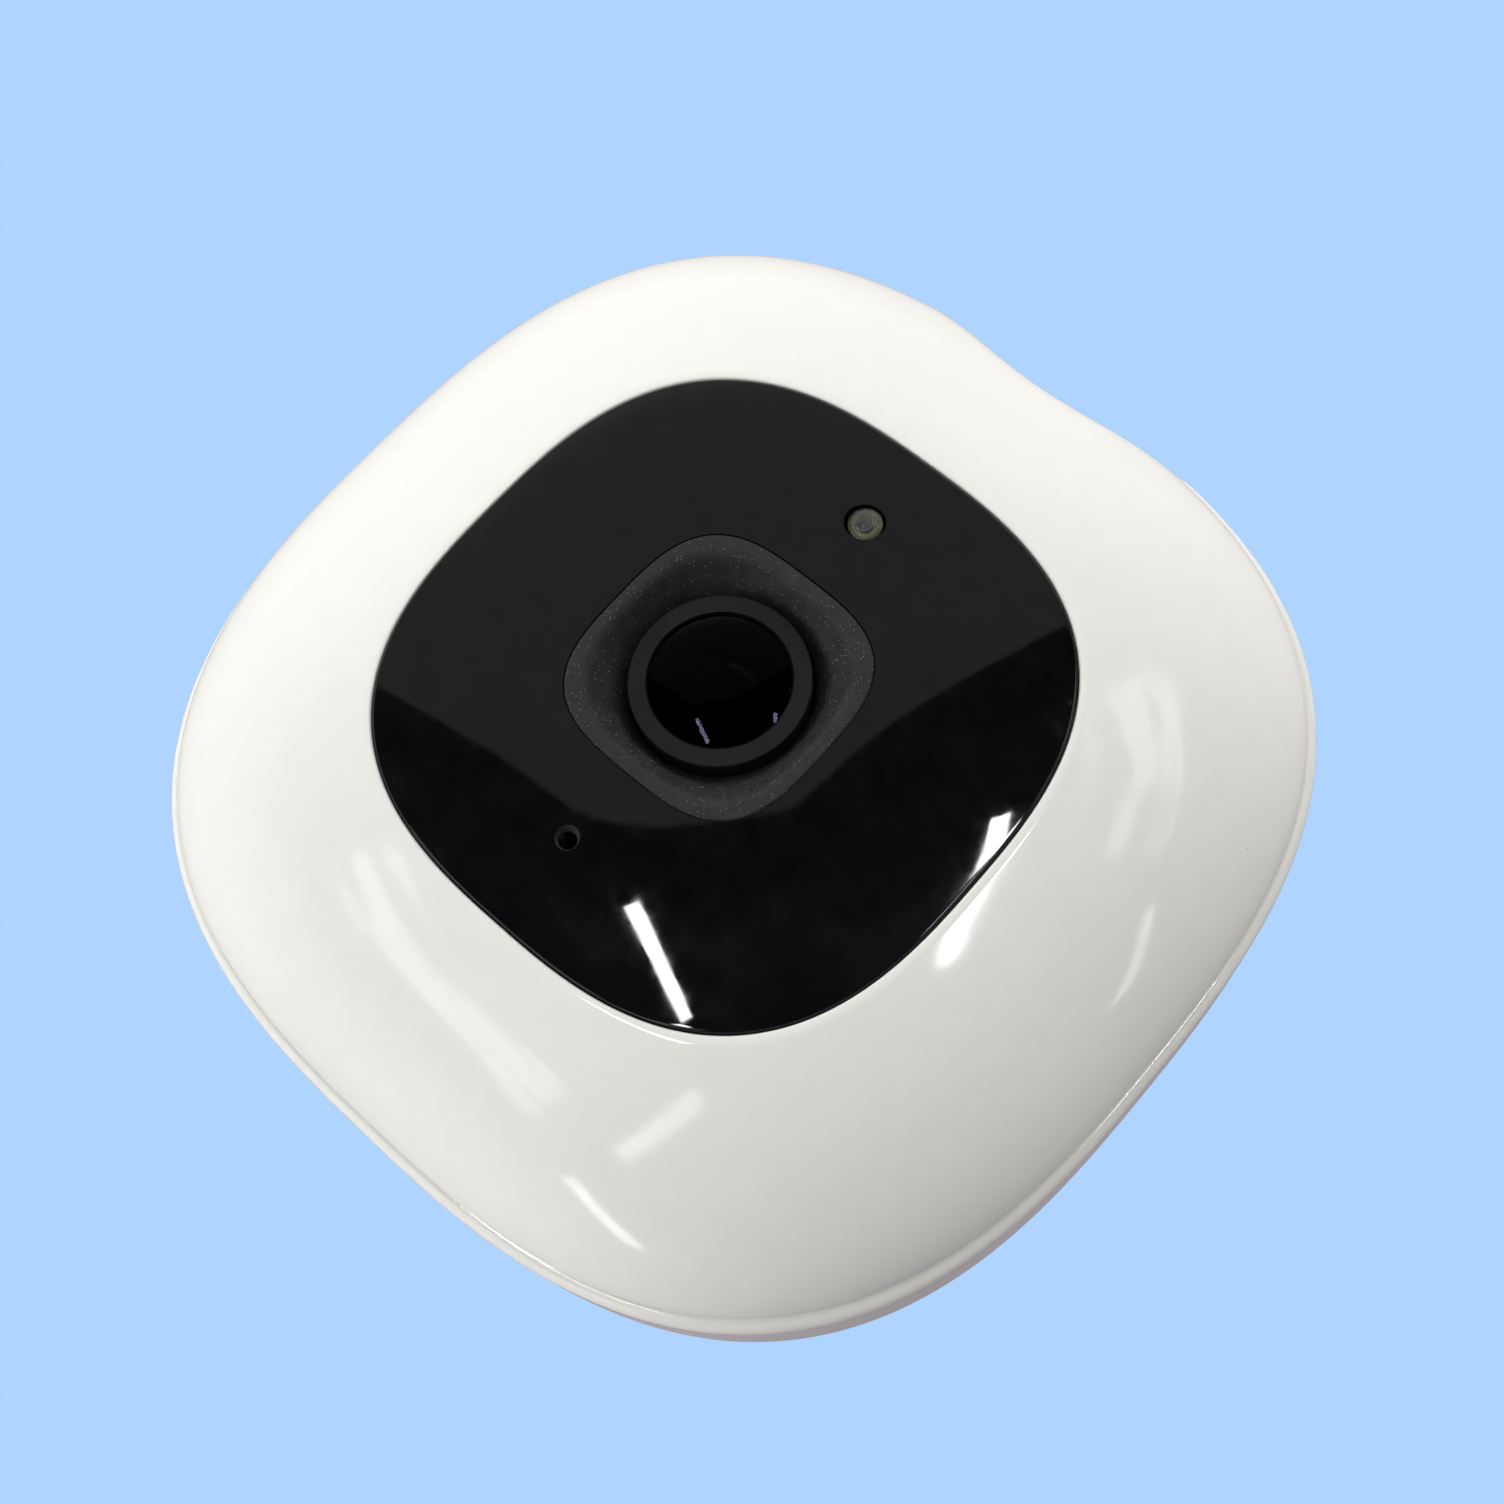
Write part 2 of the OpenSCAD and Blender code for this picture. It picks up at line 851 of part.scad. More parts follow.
module filter_slide() {
    seat = 2 * pane_half + 0.04;
    window = 5.2;
    color([0.2, 0.2, 0.2]) on_seam() difference() {
        translate([-11.9, -4.6, -7])
            cube([16.6, 9.2, 1.6]);
        for (x = [0, -filter_travel])
            translate([x, 0, 0]) {
                block([seat, seat, 2], -6.42);
                block([window, window, 4], -8);
            }
    }
}

module day_filter() {
    color([0.45, 0.7, 0.75], 0.6) on_seam()
        pane(0);
}

module night_filter() {
    color([0.9, 0.9, 0.9], 0.4) on_seam()
        pane(-filter_travel);
}

module filter_magnet() {
    color("silver") on_seam()
        translate([-2, 4.6, -6.9])
            cube([4.6, 0.9, 1.4]);
}

module filter_coil() {
    color("darkorange") on_seam() difference() {
        translate([2.2, 7.55, -8])
            cube([10, 3.6, 3.6]);
        translate([4.2, 8.35, -8.5])
            cube([6, 2, 5]);
    }
}

// ---------- Electronics ----------

module image_sensor() {
    color([0.25, 0.25, 0.22]) on_seam()
        block([8.4, 8.4, 0.8], sensor_top);
}

module sensor_glass() {
    color([0.6, 0.7, 0.75], 0.5) on_seam()
        block([7.6, 7.6, 0.4], sensor_top + 0.8);
}

module sensor_board() {
    color("darkgreen") on_seam() difference() {
        block([stack_long, 18.8, sensor_top - sensor_bottom], sensor_bottom);
        at_spots(sensor_screw_spots)
            post(screw_pass_r, -12, -8);
    }
}

module inner_frame() {
    color([0.18, 0.18, 0.18]) on_seam() difference() {
        union() {
            translate([0, 0, flange_top])
                linear_extrude(frame_top - flange_top)
                    rounded_square(31.2);
            at_spots(ir_screw_spots)
                post(2.2, frame_top - eps, ir_board_z);
            at_spots(flange_screw_spots)
                post(2.1, frame_top - eps, 2.2);
        }
        post(8.2, -5, 5);
        at_corners(case_screw_at)
            post(3.3, -5, 5);
        at_spots(frame_screw_spots)
            post(screw_pass_r, -5, 5);
        at_spots(flange_screw_spots)
            post(screw_bite_r, -5, 1.6);
        at_spots(ir_screw_spots)
            post(screw_bite_r, 0.6, 8);
    }
}

module main_board() {
    color("darkgreen") on_seam() difference() {
        translate([0, 0, main_bottom])
            linear_extrude(main_top - main_bottom)
                rounded_square(35);
        translate([-18.5, -40, -15])
            cube([37, 30.5, 5]);
        at_corners(case_screw_at)
            post(3.8, -15, -10);
        at_spots(board_screw_spots)
            post(screw_pass_r, -15, -10);
    }
}

module processor() {
    color([0.12, 0.12, 0.13]) on_seam()
        translate([0, 21, 0])
            block([13, 13, 1.1], main_top);
}

module heat_sink() {
    fin = 1;
    pitch = 2.75;
    color("silver") on_seam() translate([0, 21, 0])
        union() {
            block([23, 14.6, 1.2], main_top + 1.1);
            for (k = [-4:4])
                translate([pitch * k, 0, 0])
                    block([fin, 14.6, 3], main_top + 2.3 - eps);
        }
}

module shield_can() {
    color("silver") on_seam()
        translate([-22, 1, 0])
            block([11, 13, 2.2], main_top);
}

module wifi_antenna() {
    color("goldenrod") on_seam() {
        translate([-33.8, -9, main_top])
            cube([0.4, 18, 5]);
        translate([-33.8, -9, main_top + 4.6])
            cube([4.5, 18, 0.4]);
    }
}

module usb_socket() {
    mouth = -rear_depth + 1.7;
    tongue = [4.6, 0.8];
    color("silver") on_seam() translate([usb_at.x, usb_at.y, 0])
        union() {
            difference() {
                block([7.6, 2.8, main_bottom - mouth], mouth);
                block([6.9, 2.1, 5.4], mouth - 0.5);
            }
            block([tongue.x, tongue.y, 4.6], mouth + 0.4);
        }
}

module card_socket() {
    color("silver") on_seam() difference() {
        translate([21.5, card_y - 7, main_top])
            cube([15, 14, 1.9]);
        translate([24, card_y - 5.65, card_z - 0.05])
            cube([15, 11.3, 1.1]);
    }
}

module memory_card() {
    inner_x = 26.4;
    notch = 1;
    color([0.1, 0.1, 0.11]) on_seam() difference() {
        translate([inner_x, card_y - card_wide / 2, card_z])
            cube([15, card_wide, 1]);
        translate([inner_x - eps, card_y + card_wide / 2 - notch, card_z - 1])
            cube([6, notch + 1, 3]);
    }
}

// Flat cable folded back from the sensor board to the main board
module ribbon_cable() {
    thick = 0.25;
    low = main_top;
    high = sensor_bottom;
    mid = (low + high) / 2;
    outer_r = (high - low) / 2;
    bend_y = 10.6;
    color("orange") on_seam() rotate([90, 0, 90])
        linear_extrude(9, center = true)
            polygon([
                [6.4, high],
                for (turn = [90:-15:-90])
                    [bend_y + outer_r * cos(turn), mid + outer_r * sin(turn)],
                [9.4, low],
                [9.4, low + thick],
                for (turn = [-90:15:90])
                    [
                        bend_y + (outer_r - thick) * cos(turn),
                        mid + (outer_r - thick) * sin(turn)
                    ],
                [6.4, high - thick],
            ]);
}

module speaker() {
    color([0.2, 0.2, 0.2]) on_seam() translate([0, speaker_y, 0])
        union() {
            post(speaker_r, floor_z + 0.6, floor_z + 3);
            post(6.5, floor_z + 3 - eps, floor_z + 5.4);
        }
}

module speaker_gasket() {
    color("dimgray") on_seam() translate([0, speaker_y, 0])
        difference() {
            post(speaker_r, floor_z, floor_z + 0.6);
            post(8.2, floor_z - 1, floor_z + 2);
        }
}

module microphone() {
    color("silver") on_seam() translate([0, mic_offset, 0])
        post(2, ir_board_top, ir_board_top + 1.5);
}

module mic_boot() {
    low = ir_board_top + 1.5;
    color([0.1, 0.1, 0.1]) on_seam() translate([0, mic_offset, 0])
        difference() {
            post(2, low, dome_z(mic_offset + 2) - plate_thick);
            post(0.8, low - 1, 20);
        }
}

module status_led() {
    body_r = 1.4;
    flange_r = 1.75;
    flange_h = 0.8;
    cap_r = 1.7;
    tip_z = dome_z(led_offset) + 0.35;
    color("lightyellow", 0.7) on_seam() translate([0, -led_offset, 0])
        union() {
            post(flange_r, ir_board_top, ir_board_top + flange_h);
            intersection() {
                post(body_r, ir_board_top, tip_z + 1);
                union() {
                    translate([0, 0, tip_z - cap_r])
                        sphere(r = cap_r);
                    post(body_r, ir_board_top, tip_z - cap_r);
                }
            }
        }
}

module ir_led_board() {
    color("darkgreen") on_seam() difference() {
        translate([0, 0, ir_board_z])
            linear_extrude(ir_board_top - ir_board_z)
                rounded_square(20.6);
        post(9.6, 0, 10);
        at_spots(ir_screw_spots)
            post(screw_pass_r, 0, 10);
    }
}

module ir_leds() {
    spread = 15;
    for (turn = [0, 45, 180, 225])
        color("lavender") on_seam()
            rotate([0, 0, turn])
                translate([spread, 0, 0])
                    rotate([0, 0, -turn])
                        union() {
                            block([3, 3, 1], ir_board_top);
                            translate([0, 0, ir_board_top + 0.9])
                                intersection() {
                                    sphere(r = 1.3, $fn = 48);
                                    post(2, 0, 2);
                                }
                        }
}

// ---------- Controls ----------

module pair_button() {
    color("lightgray") on_seam() translate([pair_at.x, pair_at.y, 0])
        union() {
            post(button_r, -rear_depth - 0.4, -17.9);
            post(button_r + 0.9, floor_z + 0.1, floor_z + 0.8);
        }
}

module pair_switch() {
    color([0.15, 0.15, 0.15]) on_seam() translate([pair_at.x, pair_at.y, 0])
        union() {
            block([6, 6, 3], main_bottom - 3);
            post(1.6, main_bottom - 3.9, main_bottom - 2.9);
        }
}

module reset_plunger() {
    color("black") on_seam() translate([reset_at.x, reset_at.y, 0])
        post(1, main_bottom - 3.4, main_bottom - 1.6);
}

module reset_switch() {
    color("silver") on_seam() translate([reset_at.x, reset_at.y, 0])
        difference() {
            block([4.4, 4.4, 2.6], main_bottom - 2.6);
            post(1 + running_gap, main_bottom - 4, main_bottom - 1.2);
        }
}

// ---------- Fasteners and label ----------

module case_screws() {
    color("silver") on_seam() at_corners(case_screw_at)
        translate([0, 0, case_seat])
            rotate([180, 0, 0])
                screw(case_shank_r, 20, case_head_r, 1.5);
}

module inner_screws() {
    color("silver") on_seam() {
        at_spots(board_screw_spots)
            translate([0, 0, main_top])
                small_screw();
        at_spots(bracket_screw_spots)
            translate([0, 0, bracket_foot_z + bracket_foot_thick])
                small_screw();
        at_spots(frame_screw_spots)
            translate([0, 0, flange_top])
                rotate([180, 0, 0])
                    small_screw();
        at_spots(flange_screw_spots)
            translate([0, 0, housing_top])
                rotate([180, 0, 0])
                    small_screw();
        at_spots(sensor_screw_spots)
            translate([0, 0, sensor_bottom])
                rotate([180, 0, 0])
                    small_screw();
        at_spots(ir_screw_spots)
            translate([0, 0, ir_board_top])
                small_screw();
    }
}

module screw_plugs() {
    color("lightgray") on_seam() at_corners(case_screw_at)
        post(2.45, -rear_depth + 0.2, -rear_depth + 2.2);
}

module rating_label() {
    color("silver") on_seam()
        block([label_size.x, label_size.y, 0.15], -rear_depth + 0.15);
}

base_cover();
base_plate();
base_weight();
rubber_foot();
base_screws();
arm();
swivel_washer();
swivel_screw();
hinge_pin();
hinge_washers();
hinge_bracket();
rear_shell();
front_shell();
face_plate();
plate_adhesive();
lens_collar();
lens_barrel();
lens_retaining_ring();
front_lens();
lens_spacer();
second_lens();
aperture_disc();
rear_lens();
lens_holder();
filter_housing();
filter_slide();
day_filter();
night_filter();
filter_magnet();
filter_coil();
image_sensor();
sensor_glass();
sensor_board();
inner_frame();
main_board();
processor();
heat_sink();
shield_can();
wifi_antenna();
usb_socket();
card_socket();
memory_card();
ribbon_cable();
speaker();
speaker_gasket();
microphone();
mic_boot();
status_led();
ir_led_board();
ir_leds();
pair_button();
pair_switch();
reset_plunger();
reset_switch();
case_screws();
inner_screws();
screw_plugs();
rating_label();
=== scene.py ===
"""Looks of an indoor security camera: a rounded-square head on a curved arm and
a round base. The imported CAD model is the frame. Lengths are in millimetres up
to the point where a mesh is made, and meshes are in metres.

The head lies lens-up, +Z, and its dented lower side faces -Y. Head pieces are
written from the seam between the two shells, and base pieces from the table."""
import json
import math

import bmesh
import bpy
from mathutils import Matrix, Vector


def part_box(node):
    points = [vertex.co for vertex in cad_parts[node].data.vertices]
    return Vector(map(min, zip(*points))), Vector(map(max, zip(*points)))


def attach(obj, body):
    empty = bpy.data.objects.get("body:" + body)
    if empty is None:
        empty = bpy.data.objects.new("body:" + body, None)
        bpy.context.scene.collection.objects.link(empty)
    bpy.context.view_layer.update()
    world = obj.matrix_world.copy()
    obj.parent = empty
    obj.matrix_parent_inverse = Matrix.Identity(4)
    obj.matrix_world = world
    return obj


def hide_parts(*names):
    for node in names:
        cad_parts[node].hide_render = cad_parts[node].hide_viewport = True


MM = 0.001
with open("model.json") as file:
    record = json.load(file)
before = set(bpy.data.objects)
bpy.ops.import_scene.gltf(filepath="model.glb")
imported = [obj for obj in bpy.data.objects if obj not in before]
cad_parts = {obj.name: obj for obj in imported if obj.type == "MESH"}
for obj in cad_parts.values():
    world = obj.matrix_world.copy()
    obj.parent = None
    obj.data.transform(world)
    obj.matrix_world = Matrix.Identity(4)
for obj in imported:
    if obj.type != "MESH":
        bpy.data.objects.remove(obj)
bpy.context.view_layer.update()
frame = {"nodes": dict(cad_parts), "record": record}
nodes = frame["nodes"]


def box_mm(node):
    low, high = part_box(node)
    return low / MM, high / MM


# ---------- Sizes, in millimetres ----------

rear_low, rear_high = box_mm("rear_shell")
pin_low, pin_high = box_mm("hinge_pin")
cover_low, cover_high = box_mm("base_cover")
foot_high = box_mm("rubber_foot")[1]

SEAM_Z = rear_high.z
REAR_HALF = rear_high.x
REAR_DEPTH = SEAM_Z - rear_low.z
PIN = (pin_low + pin_high) / 2
PIN_R = (pin_high.z - pin_low.z) / 2
BASE_H = cover_high.z
BASE_R = cover_high.x
FOOT_R = foot_high.x
PLATE_LOW = cover_low.z

STEPS = 360
SQUARENESS = 2.74
LIP = 0.76
SEAM_HALF = REAR_HALF - LIP
WALL = 2.2
DOME_HEIGHT = 12.82
DOME_INNER_POWER = 2.15
DOME_OUTER_POWER = 1.76
DENT_DEPTH = 3.04
DENT_HALF = 15.5
DENT_POWER = 0.79
BACK_SCALE = 23.0
BACK_INNER_SCALE = 21.8
BACK_POWER = 6.0
BACK_ROOT = 0.4
FLOOR_Z = 2.0 - REAR_DEPTH
GROOVE = 0.45

PLATE_HALF = 24.4
PLATE_THICK = 1.8
LEDGE_Z = 8.2
LEDGE_BASE_Z = 6.4
LEDGE_HALF = 21.0
TAPE = 0.15
COLLAR_HALF = 10.25
COLLAR_SQUARENESS = 3.19
LED_Y = -16.87
MIC_Y = 16.67

BARREL_R = 7.0
RING_Z = 11.28
RING_BORE_R = 5.6
GLASS_R = 6.0
GLASS_TOP = 11.9
GLASS_CURVE_R = 18.0
COLLAR_TOP = 12.44

CHANNEL_HALF = 7.6
CHANNEL_WALL = 2.0
KNUCKLE_R = 4.5
ARM_WIDTH = 12.0
ARM_THICK = 6.2
HUB_R = 10.0
COVER_THICK = 2.0
SCREW_CIRCLE_R = 21.0
WALL_SCREW_R = 2.2
WALL_SCREW_TURN = 90
BOSS_TURN = 30
CASE_SCREW_AT = 19.5
CASE_SEAT = -15.6
CASE_TUBE_TOP = -6.2
USB_AT = (-24.0, -9.0)
PAIR_AT = (24.0, -9.0)
RESET_AT = (24.0, 2.0)
SPEAKER_Y = 17.5
CARD_THICK = 1.0
CARD_MID = SEAM_Z - 11.9 + CARD_THICK / 2

# A turn that lays an upright axis along X, like the hinge pin.
SIDEWAYS = Matrix.Rotation(math.pi / 2, 3, "Y")


# ---------- Formulas of the head ----------


def unit_reach(phi, power):
    """Distance to a unit rounded square in a direction."""
    along = abs(math.cos(phi)) ** power + abs(math.sin(phi)) ** power
    return along ** (-1 / power)


def level(x, y):
    """Half-width of the head's own rounded square that passes through a point."""
    return (abs(x) ** SQUARENESS + abs(y) ** SQUARENESS) ** (1 / SQUARENESS)


def dome_z(half):
    """Height of the dome over the seam where its half-width is half."""
    part = min(half / SEAM_HALF, 1.0)
    return DOME_HEIGHT * (1 - part ** DOME_INNER_POWER) ** (1 / DOME_OUTER_POWER)


def dome_half(half, u):
    """Half-width of a dome that is half wide at its foot, at a part u of its height."""
    return half * (1 - u ** DOME_OUTER_POWER) ** (1 / DOME_INNER_POWER)


def bowl_half(half, scale, depth):
    """Half-width of the rounded back at a depth under the seam."""
    return half * (1 - (depth / scale) ** BACK_POWER) ** BACK_ROOT


def bowl_z(half):
    """Height of the rounded back, under the seam, where its half-width is half."""
    return -BACK_SCALE * (1 - (half / REAR_HALF) ** (1 / BACK_ROOT)) ** (1 / BACK_POWER)


def dent(x):
    """How far the dent draws the lower side in, at x."""
    if abs(x) >= DENT_HALF:
        return 0.0
    return DENT_DEPTH * (0.5 + 0.5 * math.cos(math.pi * x / DENT_HALF)) ** DENT_POWER


def soft_max(a, b, width):
    """The larger of two lengths, with the crossing rounded over a width."""
    if width <= 0:
        return max(a, b)
    overlap = max(width - abs(a - b), 0.0) / width
    return max(a, b) + overlap * overlap * width / 4


def ring(half, z=None, power=SQUARENESS, inset=0.0, drop=0.0):
    """Points of one rounded square, cut by the dent. Without a height, the ring
    lies on the dome, lowered by drop."""
    edge_round = 1.8
    full_dent = 0.4
    points = []
    for k in range(STEPS):
        phi = 2 * math.pi * k / STEPS
        reach = half * unit_reach(phi, power)
        x = reach * math.cos(phi)
        depth = dent(x)
        width = edge_round * min(1.0, depth / full_dent)
        y = soft_max(reach * math.sin(phi), depth + inset - REAR_HALF, width)
        if depth == 0.0:
            y = max(reach * math.sin(phi), inset - REAR_HALF)
        height = dome_z(level(x, y)) - drop if z is None else z
        points.append(Vector((x, y, height)))
    return points


# ---------- Mesh helpers ----------


def spread(start, end, count):
    """Evenly spaced values from start to end, both included."""
    return [start + (end - start) * k / (count - 1) for k in range(count)]


def make(name, points, faces):
    mesh = bpy.data.meshes.new(name)
    mesh.from_pydata([Vector(point) * MM for point in points], [], faces)
    piece = bpy.data.objects.new(name, mesh)
    bpy.context.scene.collection.objects.link(piece)
    work = bmesh.new()
    work.from_mesh(mesh)
    bmesh.ops.recalc_face_normals(work, faces=work.faces)
    work.to_mesh(mesh)
    work.free()
    return piece


def skin(name, rings, loop=False):
    """Closed skin over rings of points. A loop joins the last ring to the first;
    without it both ends are capped."""
    count = len(rings)
    steps = len(rings[0])
    faces = []
    for i in range(count if loop else count - 1):
        low = i * steps
        high = (i + 1) % count * steps
        for k in range(steps):
            after = (k + 1) % steps
            faces.append((low + k, low + after, high + after, high + k))
    if not loop:
        faces.append(tuple(range(steps)))
        faces.append(tuple((count - 1) * steps + k for k in range(steps)))
    return make(name, [point for one in rings for point in one], faces)


def filleted(corners, closed=True, parts=6):
    """Outline through corners (x, y, radius), each rounded by its own radius."""
    outline = []
    total = len(corners)
    for i, (x, y, radius) in enumerate(corners):
        at = Vector((x, y))
        is_end = not closed and i in (0, total - 1)
        if radius == 0 or is_end:
            outline.append(at)
            continue
        back = (Vector(corners[i - 1][:2]) - at).normalized()
        ahead = (Vector(corners[(i + 1) % total][:2]) - at).normalized()
        half_turn = back.angle(ahead) / 2
        reach = radius / math.tan(half_turn)
        centre = at + (back + ahead).normalized() * (radius / math.sin(half_turn))
        start = at + back * reach - centre
        end = at + ahead * reach - centre
        for t in spread(0.0, 1.0, parts + 1):
            outline.append(centre + start.lerp(end, t).normalized() * radius)
    return outline


def rounded_box(width, depth, radius, parts=8):
    x, y = width / 2, depth / 2
    return filleted([(x, -y, radius), (x, y, radius), (-x, y, radius), (-x, -y, radius)],
                    parts=parts)


def lathe(name, profile, at=(0.0, 0.0, 0.0), steps=128, turn=Matrix.Identity(3), loop=True):
    """Solid turned from a profile of (radius, height). A profile that isn't a
    loop starts and ends on the axis."""
    shift = Vector(at)
    rings = []
    for radius, height in profile if loop else profile[1:-1]:
        rings.append([
            turn @ Vector((
                radius * math.cos(2 * math.pi * k / steps),
                radius * math.sin(2 * math.pi * k / steps),
                height,
            )) + shift
            for k in range(steps)
        ])
    if loop:
        return skin(name, rings, loop=True)
    piece = skin(name, rings)
    work = bmesh.new()
    work.from_mesh(piece.data)
    caps = [face for face in work.faces if len(face.verts) == steps]
    bmesh.ops.delete(work, geom=caps, context="FACES_ONLY")
    work.verts.ensure_lookup_table()
    last = len(rings) - 1
    for first, height in ((0, profile[0][1]), (last * steps, profile[-1][1])):
        pole = work.verts.new((turn @ Vector((0, 0, height)) + shift) * MM)
        work.verts.ensure_lookup_table()
        for k in range(steps):
            work.faces.new((work.verts[first + k], work.verts[first + (k + 1) % steps], pole))
    bmesh.ops.recalc_face_normals(work, faces=work.faces)
    work.to_mesh(piece.data)
    work.free()
    return piece


def loft(name, outlines, place=Matrix.Identity(4)):
    """Solid through outlines given as (flat points, height)."""
    rings = [[place @ Vector((p[0], p[1], height)) for p in outline]
             for outline, height in outlines]
    return skin(name, rings)


def join(name, pieces):
    """One object from several, which are removed."""
    work = bmesh.new()
    for piece in pieces:
        work.from_mesh(piece.data)
        bpy.data.objects.remove(piece)
    mesh = bpy.data.meshes.new(name)
    work.to_mesh(mesh)
    work.free()
    joined = bpy.data.objects.new(name, mesh)
    bpy.context.scene.collection.objects.link(joined)
    return joined


def combine(piece, operation, others):
    """Adds or cuts solids that don't overlap each other."""
    tool = join("tool", others)
    change = piece.modifiers.new("combine", "BOOLEAN")
    change.operation = operation
    change.solver = "EXACT"
    change.object = tool
    seen = piece.evaluated_get(bpy.context.evaluated_depsgraph_get())
    result = bpy.data.meshes.new_from_object(seen)
    piece.modifiers.clear()
    piece.data = result
    bpy.data.objects.remove(tool)


def finish(piece, body, slot, replaced=(), sharp=32.0, own=None):
    """Shades a piece, gives it its material and body, and hides the CAD parts it replaces."""
    mesh = piece.data
    mesh.materials.clear()
    mesh.materials.append(own or MATERIALS[slot])
    mesh.polygons.foreach_set("use_smooth", [True] * len(mesh.polygons))
    mesh.set_sharp_from_angle(angle=math.radians(sharp))
    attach(piece, body)
    if replaced:
        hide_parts(*replaced)
    return piece


def coat_faces(piece, coat, chosen):
    """Gives a second material to the faces of a finished piece that are chosen."""
    piece.data.materials.append(coat)
    for face in piece.data.polygons:
        if chosen(face):
            face.material_index = 1
    return piece


def raised(points, height):
    """Points written from the seam, moved to their height above the table."""
    return [point + Vector((0, 0, height)) for point in points]


def seam_skin(name, rings):
    return skin(name, [raised(one, SEAM_Z) for one in rings], loop=True)


def seam_lathe(name, profile, x=0.0, y=0.0, **how):
    return lathe(name, profile, at=(x, y, SEAM_Z), **how)


def hole(radius, low, high, x=0.0, y=0.0, steps=64, base=SEAM_Z):
    return lathe("hole", [(0, low), (radius, low), (radius, high), (0, high)],
                 at=(x, y, base), steps=steps, loop=False)


def flared_hole(radius, mouth_z, flare, far_z, x=0.0, y=0.0, steps=64):
    """Hole from a face that looks down at mouth_z, with a chamfered mouth."""
    profile = [
        (0, mouth_z - 1),
        (radius + flare, mouth_z - 1),
        (radius + flare, mouth_z),
        (radius, mouth_z + flare),
        (radius, far_z),
        (0, far_z),
    ]
    return seam_lathe("hole", profile, x, y, steps=steps, loop=False)


def pin_hole(half):
    """Bore for the hinge pin, half its length on each side of the middle."""
    radius = PIN_R + 0.05
    return lathe("pin_hole", [(0, -half), (radius, -half), (radius, half), (0, half)],
                 at=PIN, turn=SIDEWAYS, loop=False, steps=64)


def across_hinge(name, outline, half):
    """Solid from a side-on outline round the hinge pin, in (-Y, Z) of the pin."""
    place = Matrix.Translation((0, PIN.y, PIN.z)) @ Matrix.Rotation(math.pi / 2, 4, "X") \
        @ Matrix.Rotation(math.pi / 2, 4, "Y")
    return loft(name, [(outline, -half), (outline, half)], place)


def four_corners(reach):
    return [(x, y) for x in (-reach, reach) for y in (-reach, reach)]


# ---------- Materials ----------


class Graph:
    """Short way to add and join the nodes of one node tree."""

    def __init__(self, tree):
        self.tree = tree

    def add(self, kind, inputs=None, **settings):
        node = self.tree.nodes.new(kind)
        for key, value in settings.items():
            setattr(node, key, value)
        for key, value in (inputs or {}).items():
            if isinstance(value, bpy.types.NodeSocket):
                self.tree.links.new(value, node.inputs[key])
            else:
                node.inputs[key].default_value = value
        return node

    def millimetres(self):
        """Coordinates fixed to the piece, in millimetres."""
        where = self.add("ShaderNodeTexCoord").outputs["Object"]
        scaled = self.add("ShaderNodeVectorMath", {0: where, "Scale": 1 / MM}, operation="SCALE")
        return scaled.outputs["Vector"]

    def noise(self, where, scale, detail=3.0):
        node = self.add("ShaderNodeTexNoise", {"Vector": where, "Scale": scale, "Detail": detail})
        return node.outputs["Fac"]

    def remap(self, value, low, high, to_low, to_high):
        node = self.add(
            "ShaderNodeMapRange",
            {"Value": value, "From Min": low, "From Max": high, "To Min": to_low, "To Max": to_high},
            interpolation_type="SMOOTHSTEP",
        )
        return node.outputs["Result"]

    def math(self, operation, a, b):
        return self.add("ShaderNodeMath", {0: a, 1: b}, operation=operation).outputs["Value"]

    def mix(self, factor, a, b):
        node = self.add("ShaderNodeMix", {0: factor, 6: a, 7: b}, data_type="RGBA")
        return node.outputs[2]

    def specks(self, where, scale, size, share):
        """Mask of small round specks, in a share of the cells of a lattice."""
        cells = self.add("ShaderNodeTexVoronoi", {"Vector": where, "Scale": scale})
        chance = self.add("ShaderNodeSeparateColor", {"Color": cells.outputs["Color"]})
        near = self.remap(cells.outputs["Distance"], size * 0.7, size, 1.0, 0.0)
        chosen = self.math("GREATER_THAN", chance.outputs["Red"], 1 - share)
        return self.math("MULTIPLY", near, chosen)


def rgba(colour):
    return (*colour, 1.0)


